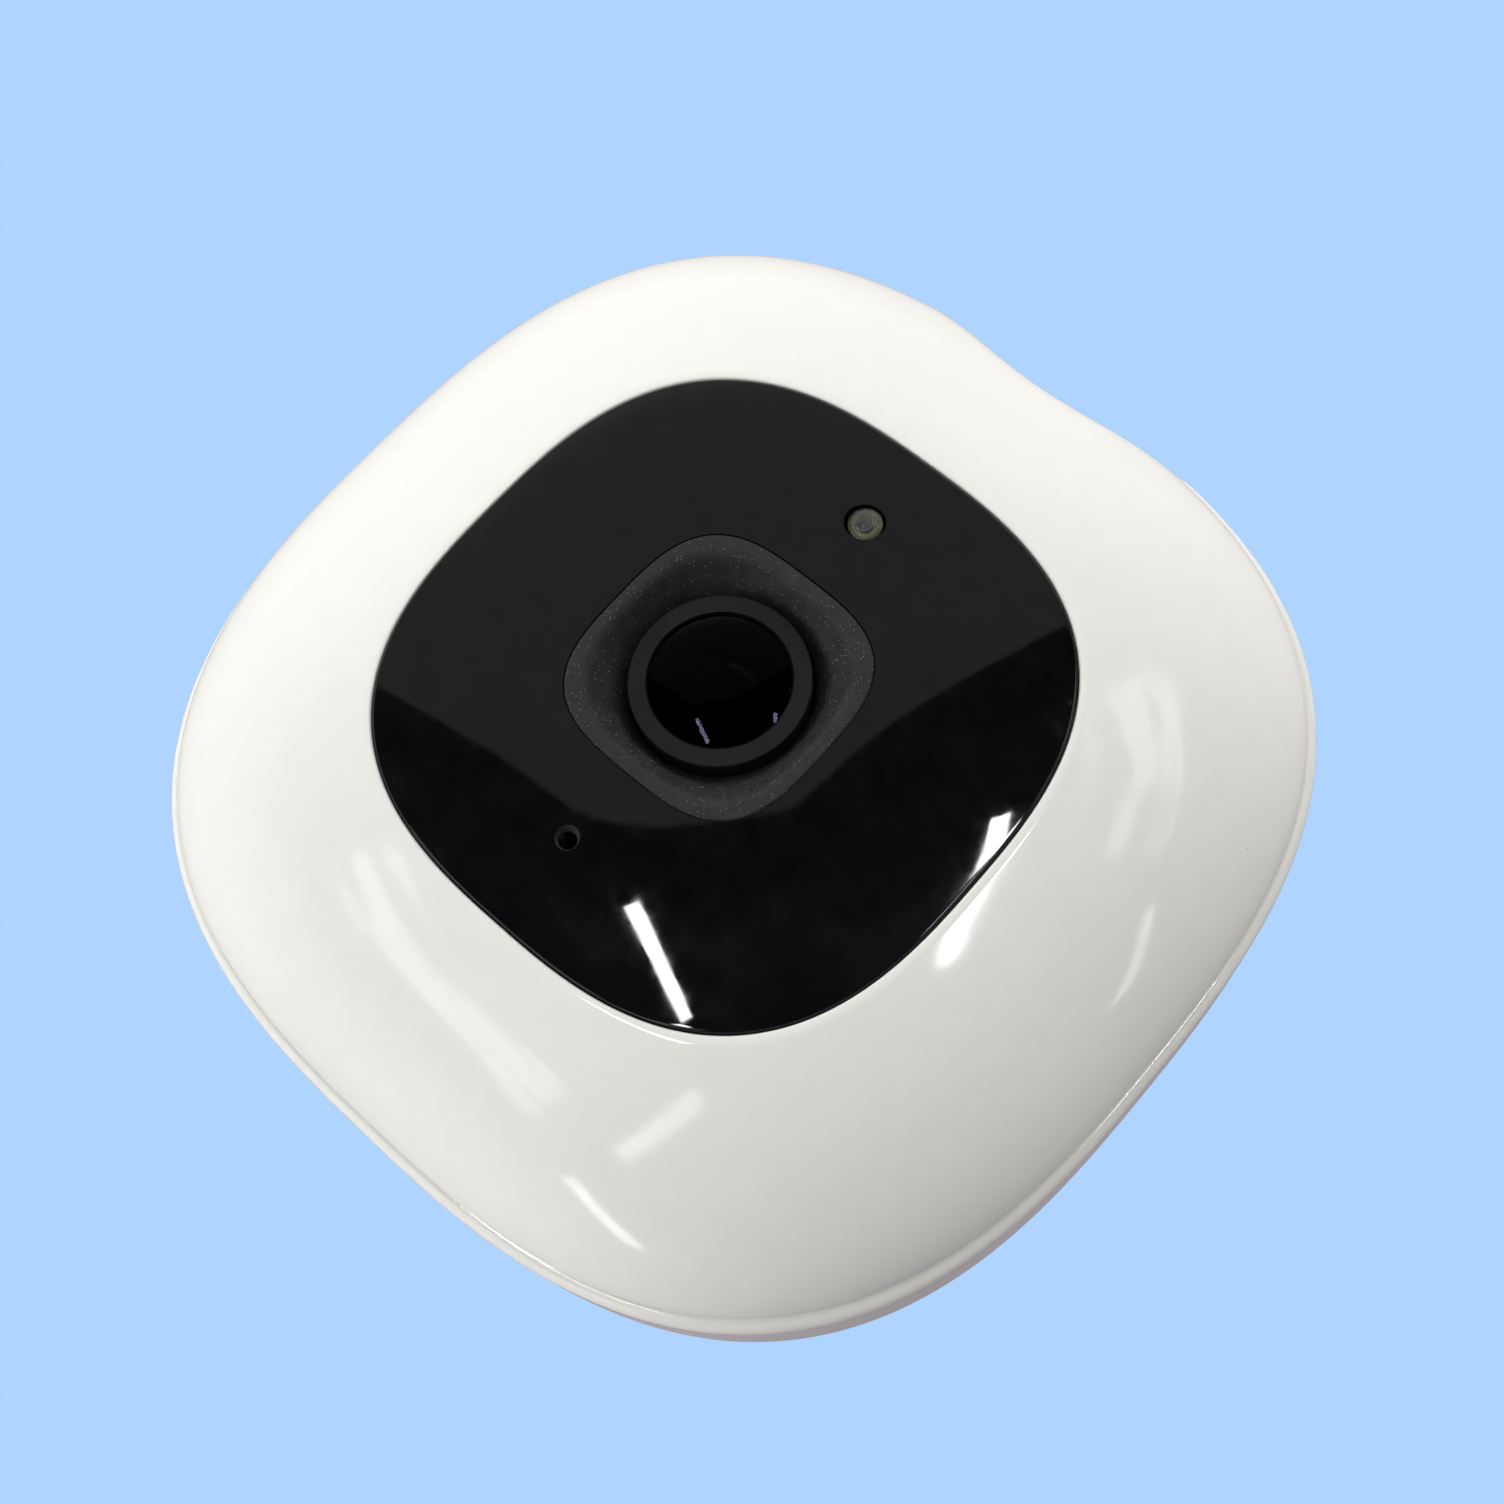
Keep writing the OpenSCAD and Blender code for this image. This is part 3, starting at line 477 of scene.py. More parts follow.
def material(name, colour, second, rough, rough_second, metallic=0.0, grain=2.0,
             fine=20.0, depth=0.0, ior=1.46, dust=None, dust_share=0.0, dust_scale=1.2,
             dust_size=0.12, patch=0.35, specular=0.5, dust_and_sheen_above=None):
    """Opaque finish: two close colours and roughnesses mixed by soft patches and
    grain, a bump of the given depth in millimetres, and a little dust. Above a
    given height a grey film lightens it, partly dust and partly painted sheen
    where the rounded crown catches light."""
    made = bpy.data.materials.new(name)
    made.use_nodes = True
    graph = Graph(made.node_tree)
    shader = made.node_tree.nodes["Principled BSDF"]
    where = graph.millimetres()
    patches = graph.noise(where, patch, 2.0)
    grains = graph.noise(where, grain, 4.0)
    pores = graph.noise(where, fine, 2.0)
    amount = graph.remap(graph.math("ADD", patches, grains), 0.7, 1.3, 0.0, 1.0)
    tint = graph.mix(amount, rgba(colour), rgba(second))
    gloss = graph.remap(grains, 0.3, 0.7, rough, rough_second)
    if dust:
        dusty = graph.specks(where, dust_scale, dust_size, dust_share)
        tint = graph.mix(dusty, tint, rgba(dust))
        gloss = graph.math("ADD", gloss, graph.math("MULTIPLY", dusty, 0.4))
    # Lighter film above a height: part dust, part painted sheen on the crown.
    if dust_and_sheen_above:
        fade, most = 0.5, 0.055
        dust_and_sheen_grey = (0.3, 0.3, 0.31)
        height = graph.add("ShaderNodeSeparateXYZ", {0: where}).outputs["Z"]
        dust_and_sheen_film = graph.remap(height, dust_and_sheen_above, dust_and_sheen_above + fade, 0.0, most)
        uneven = graph.math("MULTIPLY", dust_and_sheen_film, graph.remap(pores, 0.35, 0.65, 0.4, 1.0))
        tint = graph.mix(uneven, tint, rgba(dust_and_sheen_grey))
    links = made.node_tree.links
    links.new(tint, shader.inputs["Base Color"])
    links.new(gloss, shader.inputs["Roughness"])
    shader.inputs["Metallic"].default_value = metallic
    shader.inputs["IOR"].default_value = ior
    shader.inputs["Specular IOR Level"].default_value = specular
    if depth:
        bump = graph.add("ShaderNodeBump", {"Height": pores, "Distance": depth * MM})
        links.new(bump.outputs["Normal"], shader.inputs["Normal"])
    return made


def clear(name, colour, ior, rough=0.0, tint=(1.0, 1.0, 1.0)):
    """Clear glass or resin, with faint smudges in its gloss. A dark tint is an
    antireflective coating."""
    made = bpy.data.materials.new(name)
    made.use_nodes = True
    graph = Graph(made.node_tree)
    shader = made.node_tree.nodes["Principled BSDF"]
    smudge = graph.remap(graph.noise(graph.millimetres(), 0.6), 0.4, 0.7, rough, rough + 0.02)
    made.node_tree.links.new(smudge, shader.inputs["Roughness"])
    shader.inputs["Base Color"].default_value = rgba(colour)
    shader.inputs["Transmission Weight"].default_value = 1.0
    shader.inputs["IOR"].default_value = ior
    shader.inputs["Specular Tint"].default_value = rgba(tint)
    return made


MATERIALS = {
    "white_gloss": material(
        "white_gloss", (0.86, 0.851, 0.807), (0.848, 0.838, 0.8), 0.06, 0.1, grain=0.5,
        fine=0.3, depth=0.004, dust=(0.35, 0.34, 0.32), dust_share=0.02, dust_scale=0.35,
        dust_size=0.045),
    "black_gloss": material(
        "black_gloss", (0.0025, 0.0028, 0.003), (0.004, 0.004, 0.0045), 0.02, 0.05, grain=0.6,
        fine=0.3, depth=0.003, dust=(0.12, 0.12, 0.12), dust_share=0.05, dust_scale=0.6,
        dust_size=0.04),
    "grey_plastic": material(
        "grey_plastic", (0.32, 0.32, 0.33), (0.28, 0.28, 0.29), 0.45, 0.6, depth=0.01),
    "black_plastic": material(
        "black_plastic", (0.012, 0.012, 0.013), (0.018, 0.018, 0.019), 0.4, 0.6, depth=0.01),
    # The collar's crown gets a lighter film that is part dust and part painted sheen.
    "black_rubber": material(
        "black_rubber", (0.01, 0.0105, 0.011), (0.018, 0.0185, 0.019), 0.6, 0.8, grain=5.0,
        fine=9.0, depth=0.03, dust=(0.2, 0.2, 0.2), dust_share=0.25, dust_scale=5.0,
        dust_size=0.22, patch=0.8, specular=0.35, dust_and_sheen_above=SEAM_Z + COLLAR_TOP - 0.5),
    "grey_rubber": material(
        "grey_rubber", (0.05, 0.05, 0.052), (0.07, 0.07, 0.072), 0.7, 0.9, grain=4.0,
        fine=8.0, depth=0.03, dust=(0.4, 0.39, 0.37), dust_share=0.08, dust_size=0.14),
    "barrel_black": material(
        "barrel_black", (0.009, 0.0098, 0.0115), (0.012, 0.0127, 0.0145), 0.45, 0.52, grain=6.0,
        fine=16.0, depth=0.004, specular=0.22),
    "weight_steel": material(
        "weight_steel", (0.42, 0.42, 0.43), (0.3, 0.3, 0.31), 0.4, 0.6, metallic=1.0, depth=0.01),
    "screw_steel": material(
        "screw_steel", (0.62, 0.61, 0.6), (0.5, 0.5, 0.5), 0.22, 0.4, metallic=1.0, depth=0.003),
    "bracket_steel": material(
        "bracket_steel", (0.56, 0.56, 0.57), (0.44, 0.44, 0.45), 0.3, 0.5, metallic=1.0, depth=0.005),
    "spring_brass": material(
        "spring_brass", (0.75, 0.55, 0.25), (0.6, 0.42, 0.18), 0.25, 0.4, metallic=1.0, depth=0.003),
    "tape": material(
        "tape", (0.04, 0.04, 0.04), (0.07, 0.07, 0.07), 0.8, 0.9, depth=0.02),
    "copper": material(
        "copper", (0.8, 0.36, 0.18), (0.62, 0.26, 0.12), 0.25, 0.45, metallic=1.0, fine=6.0, depth=0.02),
    "chip_black": material(
        "chip_black", (0.02, 0.02, 0.021), (0.03, 0.03, 0.031), 0.5, 0.65, depth=0.006),
    "board_green": material(
        "board_green", (0.01, 0.07, 0.035), (0.02, 0.12, 0.06), 0.25, 0.4, grain=1.0, depth=0.006),
    "heat_sink": material(
        "heat_sink", (0.6, 0.61, 0.62), (0.5, 0.51, 0.52), 0.35, 0.5, metallic=1.0, depth=0.01),
    "tinplate": material(
        "tinplate", (0.7, 0.69, 0.67), (0.6, 0.59, 0.57), 0.2, 0.35, metallic=1.0, depth=0.004),
    "card_black": material(
        "card_black", (0.015, 0.015, 0.017), (0.025, 0.025, 0.028), 0.35, 0.5, depth=0.006),
    "flex": material(
        "flex", (0.55, 0.22, 0.04), (0.4, 0.15, 0.03), 0.3, 0.45, depth=0.004),
    "speaker_black": material(
        "speaker_black", (0.012, 0.012, 0.012), (0.02, 0.02, 0.02), 0.6, 0.8, fine=6.0, depth=0.03),
    "button_grey": material(
        "button_grey", (0.55, 0.55, 0.55), (0.5, 0.5, 0.5), 0.3, 0.42, depth=0.006),
    "label": material(
        "label", (0.66, 0.66, 0.66), (0.6, 0.6, 0.61), 0.3, 0.42, fine=5.0, depth=0.01),
    "bore_black": material(
        "bore_black", (0.0015, 0.0015, 0.002), (0.001, 0.001, 0.001), 0.6, 0.7, specular=0.05),
    "lens_glass": clear("lens_glass", (0.03, 0.03, 0.035), 1.52, tint=(0.075, 0.075, 0.13)),
    "filter_glass": clear("filter_glass", (0.75, 0.95, 1.0), 1.5, tint=(1.0, 0.12, 0.15)),
    "led_clear": clear("led_clear", (0.98, 0.97, 0.92), 1.5),
}


def paint_frame():
    """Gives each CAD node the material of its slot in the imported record. The
    blackened parts inside the lens are the exception."""
    blackened = ("lens_spacer", "aperture_disc")
    for part in frame["record"]["subparts"]:
        node = nodes[part["node"]]
        slot = part["material_slot"]
        coat = "bore_black" if part["node"] in blackened else slot
        node.data.materials.clear()
        node.data.materials.append(MATERIALS[coat])


# ---------- Head casing ----------


def front_shell():
    edge_r = 0.2
    skirt_half = REAR_HALF - WALL - 0.2
    skirt_low = -2.5
    first_u = 0.85 / DOME_HEIGHT
    opening = PLATE_HALF + 0.1
    top_u = dome_z(opening + edge_r) / DOME_HEIGHT
    groove_edge = ((41.05, GROOVE), (41.2, 0.5), (41.28, 0.62))
    rings = [ring(half, z) for half, z in groove_edge]
    rings += [ring(dome_half(SEAM_HALF, u), DOME_HEIGHT * u) for u in spread(first_u, top_u, 64)]
    for turn in spread(0.0, math.pi / 2, 5)[1:]:
        half = opening + edge_r * (1 - math.sin(turn))
        rings.append(ring(half, dome_z(opening + edge_r) - edge_r * (1 - math.cos(turn))))
    rings += [ring(opening, LEDGE_Z), ring(LEDGE_HALF, LEDGE_Z), ring(LEDGE_HALF, LEDGE_BASE_Z)]
    inner_half, inner_height = 39.3, 10.6
    rings += [ring(dome_half(inner_half, u), inner_height * u, inset=3.0)
              for u in spread(0.6, 0.22, 12)]
    skirt_thick = 1.6
    skirt_inner = skirt_half - skirt_thick
    rings += [
        ring(skirt_inner, 0.4, inset=WALL + 1.8),
        ring(skirt_inner, skirt_low, inset=WALL + 1.8),
        ring(skirt_half, skirt_low, inset=WALL + 0.2),
        ring(skirt_half, GROOVE, inset=WALL + 0.2),
    ]
    shell = seam_skin("front_shell_moulding", rings)
    return finish(shell, "head", "white_gloss", ["front_shell"])


def face_plate():
    bevel = 0.2
    inner = COLLAR_HALF + 0.04
    flat_z = LEDGE_Z + TAPE

    def on_dome(half, drop=0.0):
        blend = (PLATE_HALF - half) / (PLATE_HALF - inner)
        power = SQUARENESS + (COLLAR_SQUARENESS - SQUARENESS) * blend
        return ring(half, power=power, drop=drop)

    rings = [ring(PLATE_HALF, flat_z)]
    for turn in spread(0.0, math.pi / 2, 5):
        half = PLATE_HALF - bevel * (1 - math.cos(turn))
        rings.append(ring(half, dome_z(PLATE_HALF - bevel) - bevel * (1 - math.sin(turn))))
    rings += [on_dome(half) for half in spread(PLATE_HALF - bevel - 0.15, inner, 56)]
    rings += [on_dome(half, PLATE_THICK) for half in spread(inner, 20.5, 10)]
    rings += [ring(21.8, flat_z)]
    plate = seam_skin("face_plate_moulding", rings)
    led_top = dome_z(abs(LED_Y))
    mic_top = dome_z(abs(MIC_Y))
    led_r, mic_r, rim_r = 1.6, 0.7, 1.05
    led_hole = [(0, 2), (led_r, 2), (led_r, led_top - 0.16), (led_r + 0.12, led_top + 0.4),
                (0, led_top + 0.4)]
    mic_hole = [(0, 2), (mic_r, 2), (mic_r, mic_top - 0.5), (mic_r + 0.06, mic_top - 0.42),
                (mic_r + 0.4, mic_top + 0.3), (0, mic_top + 0.3)]
    combine(plate, "DIFFERENCE", [
        seam_lathe("led_hole", led_hole, y=LED_Y, loop=False, steps=96),
        seam_lathe("mic_hole", mic_hole, y=MIC_Y, loop=False, steps=96),
    ])
    finish(plate, "head", "black_gloss", ["face_plate"])
    mic_at = Vector((0, MIC_Y, SEAM_Z + mic_top)) * MM
    # The chamfer round the mic hole is coloured a lighter grey than the plate.
    lighter_rim_coat = material("mic_rim", (0.035, 0.035, 0.035), (0.03, 0.03, 0.03), 0.12, 0.2)

    def on_mic_rim(face):
        return (face.center - mic_at).length < rim_r * MM and face.normal.z < 0.8

    return coat_faces(plate, lighter_rim_coat, on_mic_rim)


def lens_collar():
    """Rubber dish: a rounded square at its crown, which turns round at the bore."""
    top = COLLAR_TOP
    fall = 3.0
    edge_r = 0.2
    crown = COLLAR_HALF - edge_r
    bore = BARREL_R + 0.1
    flange_half, flange_low = 12.3, 9.0
    round_power = 2.0
    level_part = 0.2
    rings = [ring(flange_half, flange_low, COLLAR_SQUARENESS),
             ring(flange_half, flange_low + 1.2, COLLAR_SQUARENESS),
             ring(COLLAR_HALF, flange_low + 1.3, COLLAR_SQUARENESS)]
    for turn in spread(0.0, math.pi / 2, 5)[:-1]:
        half = crown + edge_r * math.cos(turn)
        rings.append(ring(half, top - edge_r + edge_r * math.sin(turn), COLLAR_SQUARENESS))
    for t in spread(0.0, 1.0, 28):
        half = crown + (bore + 0.05 - crown) * t
        power = COLLAR_SQUARENESS + (round_power - COLLAR_SQUARENESS) * t
        sunk = max(t - level_part, 0.0) / (1 - level_part)
        rings.append(ring(half, top - fall * sunk ** 1.6, power))
    rings.append(ring(bore, top - fall - 0.1, round_power))
    rings.append(ring(bore, flange_low, round_power))
    collar = seam_skin("lens_collar_moulding", rings)
    return finish(collar, "head", "black_rubber", ["lens_collar"])


def arc(radius, count):
    """Corners along the channel's round top, over the knuckle."""
    turns = [math.radians(turn) for turn in spread(0.0, 108.0, count)]
    return [(radius * math.cos(turn), radius * math.sin(turn), 0) for turn in turns]


def channel_void():
    """Clear space for the arm, from the knuckle out through the dented side."""
    gap_r = KNUCKLE_R + 0.5
    outline = [(6.6, -8.0, 0)] + arc(gap_r, 19)
    outline += [(-10, 3.6, 0), (-17, 1.2, 2.0), (-24, -2.1, 2.0), (-32, -3.2, 0), (-32, -8, 0)]
    return across_hinge("channel", filleted(outline), CHANNEL_HALF)


def channel_block():
    """Walls of the channel, ending inside the thickness of the rear shell."""
    outer_r = KNUCKLE_R + 2.1
    under = 1.0
    side_y = REAR_HALF - DENT_DEPTH - under
    lift = SEAM_Z - PIN.z
    outline = [(8.6, lift - REAR_DEPTH + under, 0)] + arc(outer_r, 13)
    outline += [(-10.5, 5.4, 0), (-PIN.y - side_y, 1.8, 0)]
    for y in (side_y, side_y - 1.5, side_y - 3.5, side_y - 7, side_y - 12):
        outline.append((-PIN.y - y, bowl_z(y + 0.4) + lift + under, 0))
    return across_hinge("block", filleted(outline), CHANNEL_HALF + CHANNEL_WALL)


def speaker_holes():
    """A middle hole with rings of six and twelve round it."""
    pitch = 3.1
    hole_r = 0.6
    made = []
    for count in range(3):
        for k in range(max(6 * count, 1)):
            turn = math.radians(60 * k / max(count, 1))
            made.append(flared_hole(hole_r, -REAR_DEPTH, 0.15, FLOOR_Z + 1,
                                    pitch * count * math.cos(turn),
                                    SPEAKER_Y + pitch * count * math.sin(turn), steps=32))
    return made


def vent_slots():
    pitch = 3.6
    under_seam = 9.0
    each_side = 4
    flat = rounded_box(1.4, 7.0, 0.69)
    made = []
    for k in range(-each_side, each_side + 1):
        place = Matrix.Translation((pitch * k, REAR_HALF - 6, SEAM_Z - under_seam)) \
            @ Matrix.Rotation(-math.pi / 2, 4, "X")
        made.append(loft("vent", [(flat, 0.0), (flat, 8.0)], place))
    return made


def usb_recess():
    """Two cuts: the recess round the power socket, and the socket's port in it."""
    place = Matrix.Translation((*USB_AT, SEAM_Z - REAR_DEPTH))
    mouth = rounded_box(11.5, 7.0, 2.4)
    bottom = rounded_box(10.9, 6.4, 2.2)
    opening = rounded_box(8.0, 3.1, 1.5)
    recess = loft("recess", [(mouth, -1.4), (mouth, 0.0), (bottom, 0.35), (bottom, 1.6)], place)
    port = loft("port", [(opening, 1.0), (opening, 5.0)], place)
    return recess, port


def card_slot():
    flat = rounded_box(11.8, 1.6, 0.5)
    place = Matrix.Translation((30.0, 0, CARD_MID)) \
        @ Matrix.Rotation(math.pi / 2, 4, "Y") @ Matrix.Rotation(math.pi / 2, 4, "Z")
    return loft("card_slot", [(flat, 0.0), (flat, 20.0)], place)


def card_scoop():
    """Hollow for a fingertip at the middle of the card's slot."""
    depth, wide, tall = 1.2, 4.0, 1.8
    profile = [(math.sin(t), -math.cos(t)) for t in spread(0.0, math.pi, 33)]
    scoop = lathe("scoop", profile, steps=64, loop=False)
    place = Matrix.Translation(Vector((REAR_HALF, 0, CARD_MID)) * MM) \
        @ Matrix.Diagonal((depth, wide, tall, 1.0))
    scoop.data.transform(place)
    return scoop


def rear_shell():
    lip_inner = REAR_HALF - WALL
    lip_round = 0.8
    flat_round = 0.6
    rings = []
    flat_half, bend_half = 19.0, 38.0
    for half in spread(flat_half, bend_half, 44):
        rings.append(ring(half, soft_max(bowl_z(half), -REAR_DEPTH, flat_round)))
    for depth in spread(-bowl_z(bend_half), lip_round, 40)[1:]:
        rings.append(ring(bowl_half(REAR_HALF, BACK_SCALE, depth), -depth))
    for turn in spread(0.0, math.pi / 2, 7)[1:]:
        back = lip_round * (1 - math.cos(turn))
        rings.append(ring(REAR_HALF - back, -lip_round * (1 - math.sin(turn)), inset=back))
    rings.append(ring(lip_inner, 0.0, inset=WALL))
    inner_depths = (3, 6, 9, 11, 13, 14.5, 16, 17, 18, 18.6, 19.1, 19.5, -FLOOR_Z)
    for depth in inner_depths:
        rings.append(ring(bowl_half(lip_inner, BACK_INNER_SCALE, depth), -depth, inset=WALL))
    shell = skin("rear_shell_moulding", [raised(one, SEAM_Z) for one in rings])
    tubes = [hole(3.4, FLOOR_Z - 1, CASE_TUBE_TOP, x, y) for x, y in four_corners(CASE_SCREW_AT)]
    combine(shell, "UNION", [channel_block()] + tubes)
    combine(shell, "DIFFERENCE", [channel_void()])
    recess, port = usb_recess()
    head_r, shank_r = 2.5, 1.3
    mouth_r = head_r + 0.1
    case_hole = [(0, -30), (mouth_r, -30), (mouth_r, -REAR_DEPTH), (head_r, 0.1 - REAR_DEPTH),
                 (head_r, CASE_SEAT), (shank_r, CASE_SEAT), (shank_r, 0), (0, 0)]
    cuts = [seam_lathe("case_hole", case_hole, x, y, loop=False, steps=64)
            for x, y in four_corners(CASE_SCREW_AT)]
    cuts += [recess] + speaker_holes() + vent_slots()
    cuts.append(card_slot())
    pair_r, reset_r = 3.1, 0.75
    cuts.append(flared_hole(pair_r, -REAR_DEPTH, 0.2, FLOOR_Z + 1, *PAIR_AT, steps=96))
    cuts.append(flared_hole(reset_r, -REAR_DEPTH, 0.15, FLOOR_Z + 1, *RESET_AT))
    label_flat = rounded_box(22.4, 10.4, 0.5)
    cuts.append(loft("label_recess", [(label_flat, -1.0), (label_flat, 0.3)],
                     Matrix.Translation((0, 0, SEAM_Z - REAR_DEPTH))))
    combine(shell, "DIFFERENCE", cuts)
    combine(shell, "DIFFERENCE", [port, card_scoop(), pin_hole(15)])
    return finish(shell, "head", "white_gloss", ["rear_shell"])


# ---------- Lens ----------


def cap_height(radius, sphere_r, top):
    """Height of a bulging surface of a given radius of curvature."""
    return top - sphere_r + math.sqrt(sphere_r ** 2 - radius ** 2)


def glass_z(radius):
    """Height of the front glass at a distance from the lens axis."""
    return cap_height(radius, GLASS_CURVE_R, GLASS_TOP)


def inside_bore(face):
    """Whether a face of the barrel or its ring looks in at the glass elements."""
    outward = Vector((*face.center[:2], 0))
    return outward.length < (GLASS_R + 0.06) * MM and face.normal.dot(outward) <= 0


def retaining_ring():
    low = 9.95
    lip_r = RING_BORE_R - 0.15
    wall_r = GLASS_R + 0.1
    profile = filleted([
        (wall_r, low, 0), (BARREL_R, low, 0), (BARREL_R, RING_Z, 0.14),
        (RING_BORE_R, RING_Z, 0.05), (lip_r, RING_Z - 0.15, 0.03),
        (lip_r, glass_z(lip_r) + 0.03, 0), (wall_r, glass_z(GLASS_R) + 0.06, 0),
    ])
    made = seam_lathe("retaining_ring_turned", profile, steps=192)
    finish(made, "head", "barrel_black", ["lens_retaining_ring"])
    return coat_faces(made, MATERIALS["bore_black"], inside_bore)


def lens_barrel():
    low, step_z, head_z = -4.0, 9.9, 4.8
    thread_r = 6.0
    front_r, second_r, rear_r, exit_r = 6.05, 5.25, 4.35, 3.6
    front_seat, second_seat, rear_seat = 7.2, 1.2, -3.2
    profile = filleted([
        (exit_r, low, 0), (thread_r, low, 0.2), (thread_r, head_z, 0), (BARREL_R, head_z, 0.2),
        (BARREL_R, step_z, 0.05), (front_r, step_z, 0), (front_r, front_seat, 0),
        (second_r, front_seat, 0), (second_r, second_seat, 0), (rear_r, second_seat, 0),
        (rear_r, rear_seat, 0), (exit_r, rear_seat, 0),
    ])
    made = seam_lathe("lens_barrel_turned", profile, steps=192)
    finish(made, "head", "barrel_black", ["lens_barrel"])
    return coat_faces(made, MATERIALS["bore_black"], inside_bore)


def bulging_lens(name, node, edge_r, low, high, front_r, back_r):
    front = [(r, cap_height(r, front_r, high)) for r in spread(0.0, edge_r, 40)]
    back = [(r, 2 * low - cap_height(r, back_r, low)) for r in spread(edge_r, 0.0, 24)]
    made = seam_lathe(name, front + back, steps=160, loop=False)
    return finish(made, "head", "lens_glass", [node], sharp=50)


def front_lens():
    low, back_r, hollow = 7.3, 6.5, 1.4
    rim_r = math.sqrt(back_r ** 2 - (back_r - hollow) ** 2)
    front = [(r, glass_z(r)) for r in spread(0.0, GLASS_R, 48)]
    back = [(r, cap_height(r, back_r, low + hollow)) for r in spread(rim_r, 0.0, 36)]
    made = seam_lathe("front_lens_ground", front + [(GLASS_R, low)] + back, steps=192, loop=False)
    return finish(made, "head", "lens_glass", ["front_lens"], sharp=50)


# ---------- Status light and controls ----------


def status_led():
    """Clear domed resin, with a phosphor cup and a dark die inside it."""
    body_r = 1.4
    flange_r = 1.75
    low = 6.3
    cap_r = 1.7
    tip = dome_z(abs(LED_Y)) + 0.35
    profile = [(0, low), (flange_r - 0.1, low), (flange_r, low + 0.1), (flange_r, low + 0.7),
               (flange_r - 0.1, low + 0.8), (body_r, low + 0.8)]
    profile += [(r, cap_height(r, cap_r, tip)) for r in spread(body_r, 0.0, 25)]
    made = seam_lathe("status_led_dome", profile, y=LED_Y, steps=96, loop=False)
    finish(made, "head", "led_clear", ["status_led"], sharp=50)
    cup_top = cap_height(body_r, cap_r, tip) - 0.05
    cup_low = cup_top - 1.6
    well_z = cup_top - 0.45
    die_hole_r, foot_r, rim_r = 0.45, 1.05, 1.33
    cup = filleted([(die_hole_r, cup_low, 0), (foot_r, cup_low, 0), (rim_r, cup_top, 0.04),
                    (rim_r - 0.08, cup_top, 0.03), (0.7, well_z, 0.1), (die_hole_r, well_z, 0)])
    made = seam_lathe("status_led_cup", cup, y=LED_Y, steps=96)
    phosphor = material("led_cup", (0.2, 0.2, 0.125), (0.13, 0.13, 0.09), 0.15, 0.3, fine=4.0,
                        depth=0.01)
    finish(made, "head", "led_clear", own=phosphor)
    die_r = die_hole_r - 0.01
    die_low, die_top = cup_top - 1.5, cup_top - 0.35
    die = filleted([(0, die_low, 0), (die_r, die_low, 0), (die_r, die_top, 0.06),
                    (0, die_top, 0)], closed=False)
    made = seam_lathe("status_led_die", die, y=LED_Y, steps=48, loop=False)
    chip = material("led_die", (0.11, 0.1, 0.11), (0.08, 0.07, 0.09), 0.25, 0.4, depth=0.004)
    return finish(made, "head", "led_clear", own=chip)


def screw_plugs():
    low = 0.2 - REAR_DEPTH
    top = 2.2 - REAR_DEPTH
    plug_r = 2.45
    made = []
    for x, y in four_corners(CASE_SCREW_AT):
        corner_list = [(0, low + 0.12, 0), (1.2, low + 0.12, 0.3), (1.6, low, 0.3),
                       (plug_r, low, 0.25), (plug_r, top, 0.1), (0, top, 0)]
        made.append(seam_lathe("plug", filleted(corner_list, closed=False), x, y, loop=False,
                               steps=64))
    return finish(join("screw_plugs_moulded", made), "head", "button_grey", ["screw_plugs"])


def pair_button():
    """Dished button with a flange inside the shell that keeps it in."""
    low = -REAR_DEPTH - 0.4
    top = -17.9
    button_r, flange_r = 3.0, 3.9
    flange_low, flange_top = FLOOR_Z + 0.1, FLOOR_Z + 0.8
    corner_list = [(0, low + 0.25, 0), (1.8, low + 0.2, 0.6), (2.4, low, 0.3),
                   (button_r, low, 0.3), (button_r, flange_low, 0), (flange_r, flange_low, 0.1),
                   (flange_r, flange_top, 0.1), (button_r, flange_top, 0), (button_r, top, 0.2),
                   (0, top, 0)]
    made = seam_lathe("pair_button_moulded", filleted(corner_list, closed=False), *PAIR_AT,
                      steps=96, loop=False)
    return finish(made, "pair_button", "button_grey", ["pair_button"])


# ---------- Arm and base ----------


def curve(points, t):
    """Place and direction at a part t of the way along a cubic curve."""
    a, b, c, d = points
    s = 1 - t
    at = s ** 3 * a + 3 * s * s * t * b + 3 * s * t * t * c + t ** 3 * d
    way = 3 * s * s * (b - a) + 6 * s * t * (c - b) + 3 * t * t * (d - c)
    return at, way.normalized()


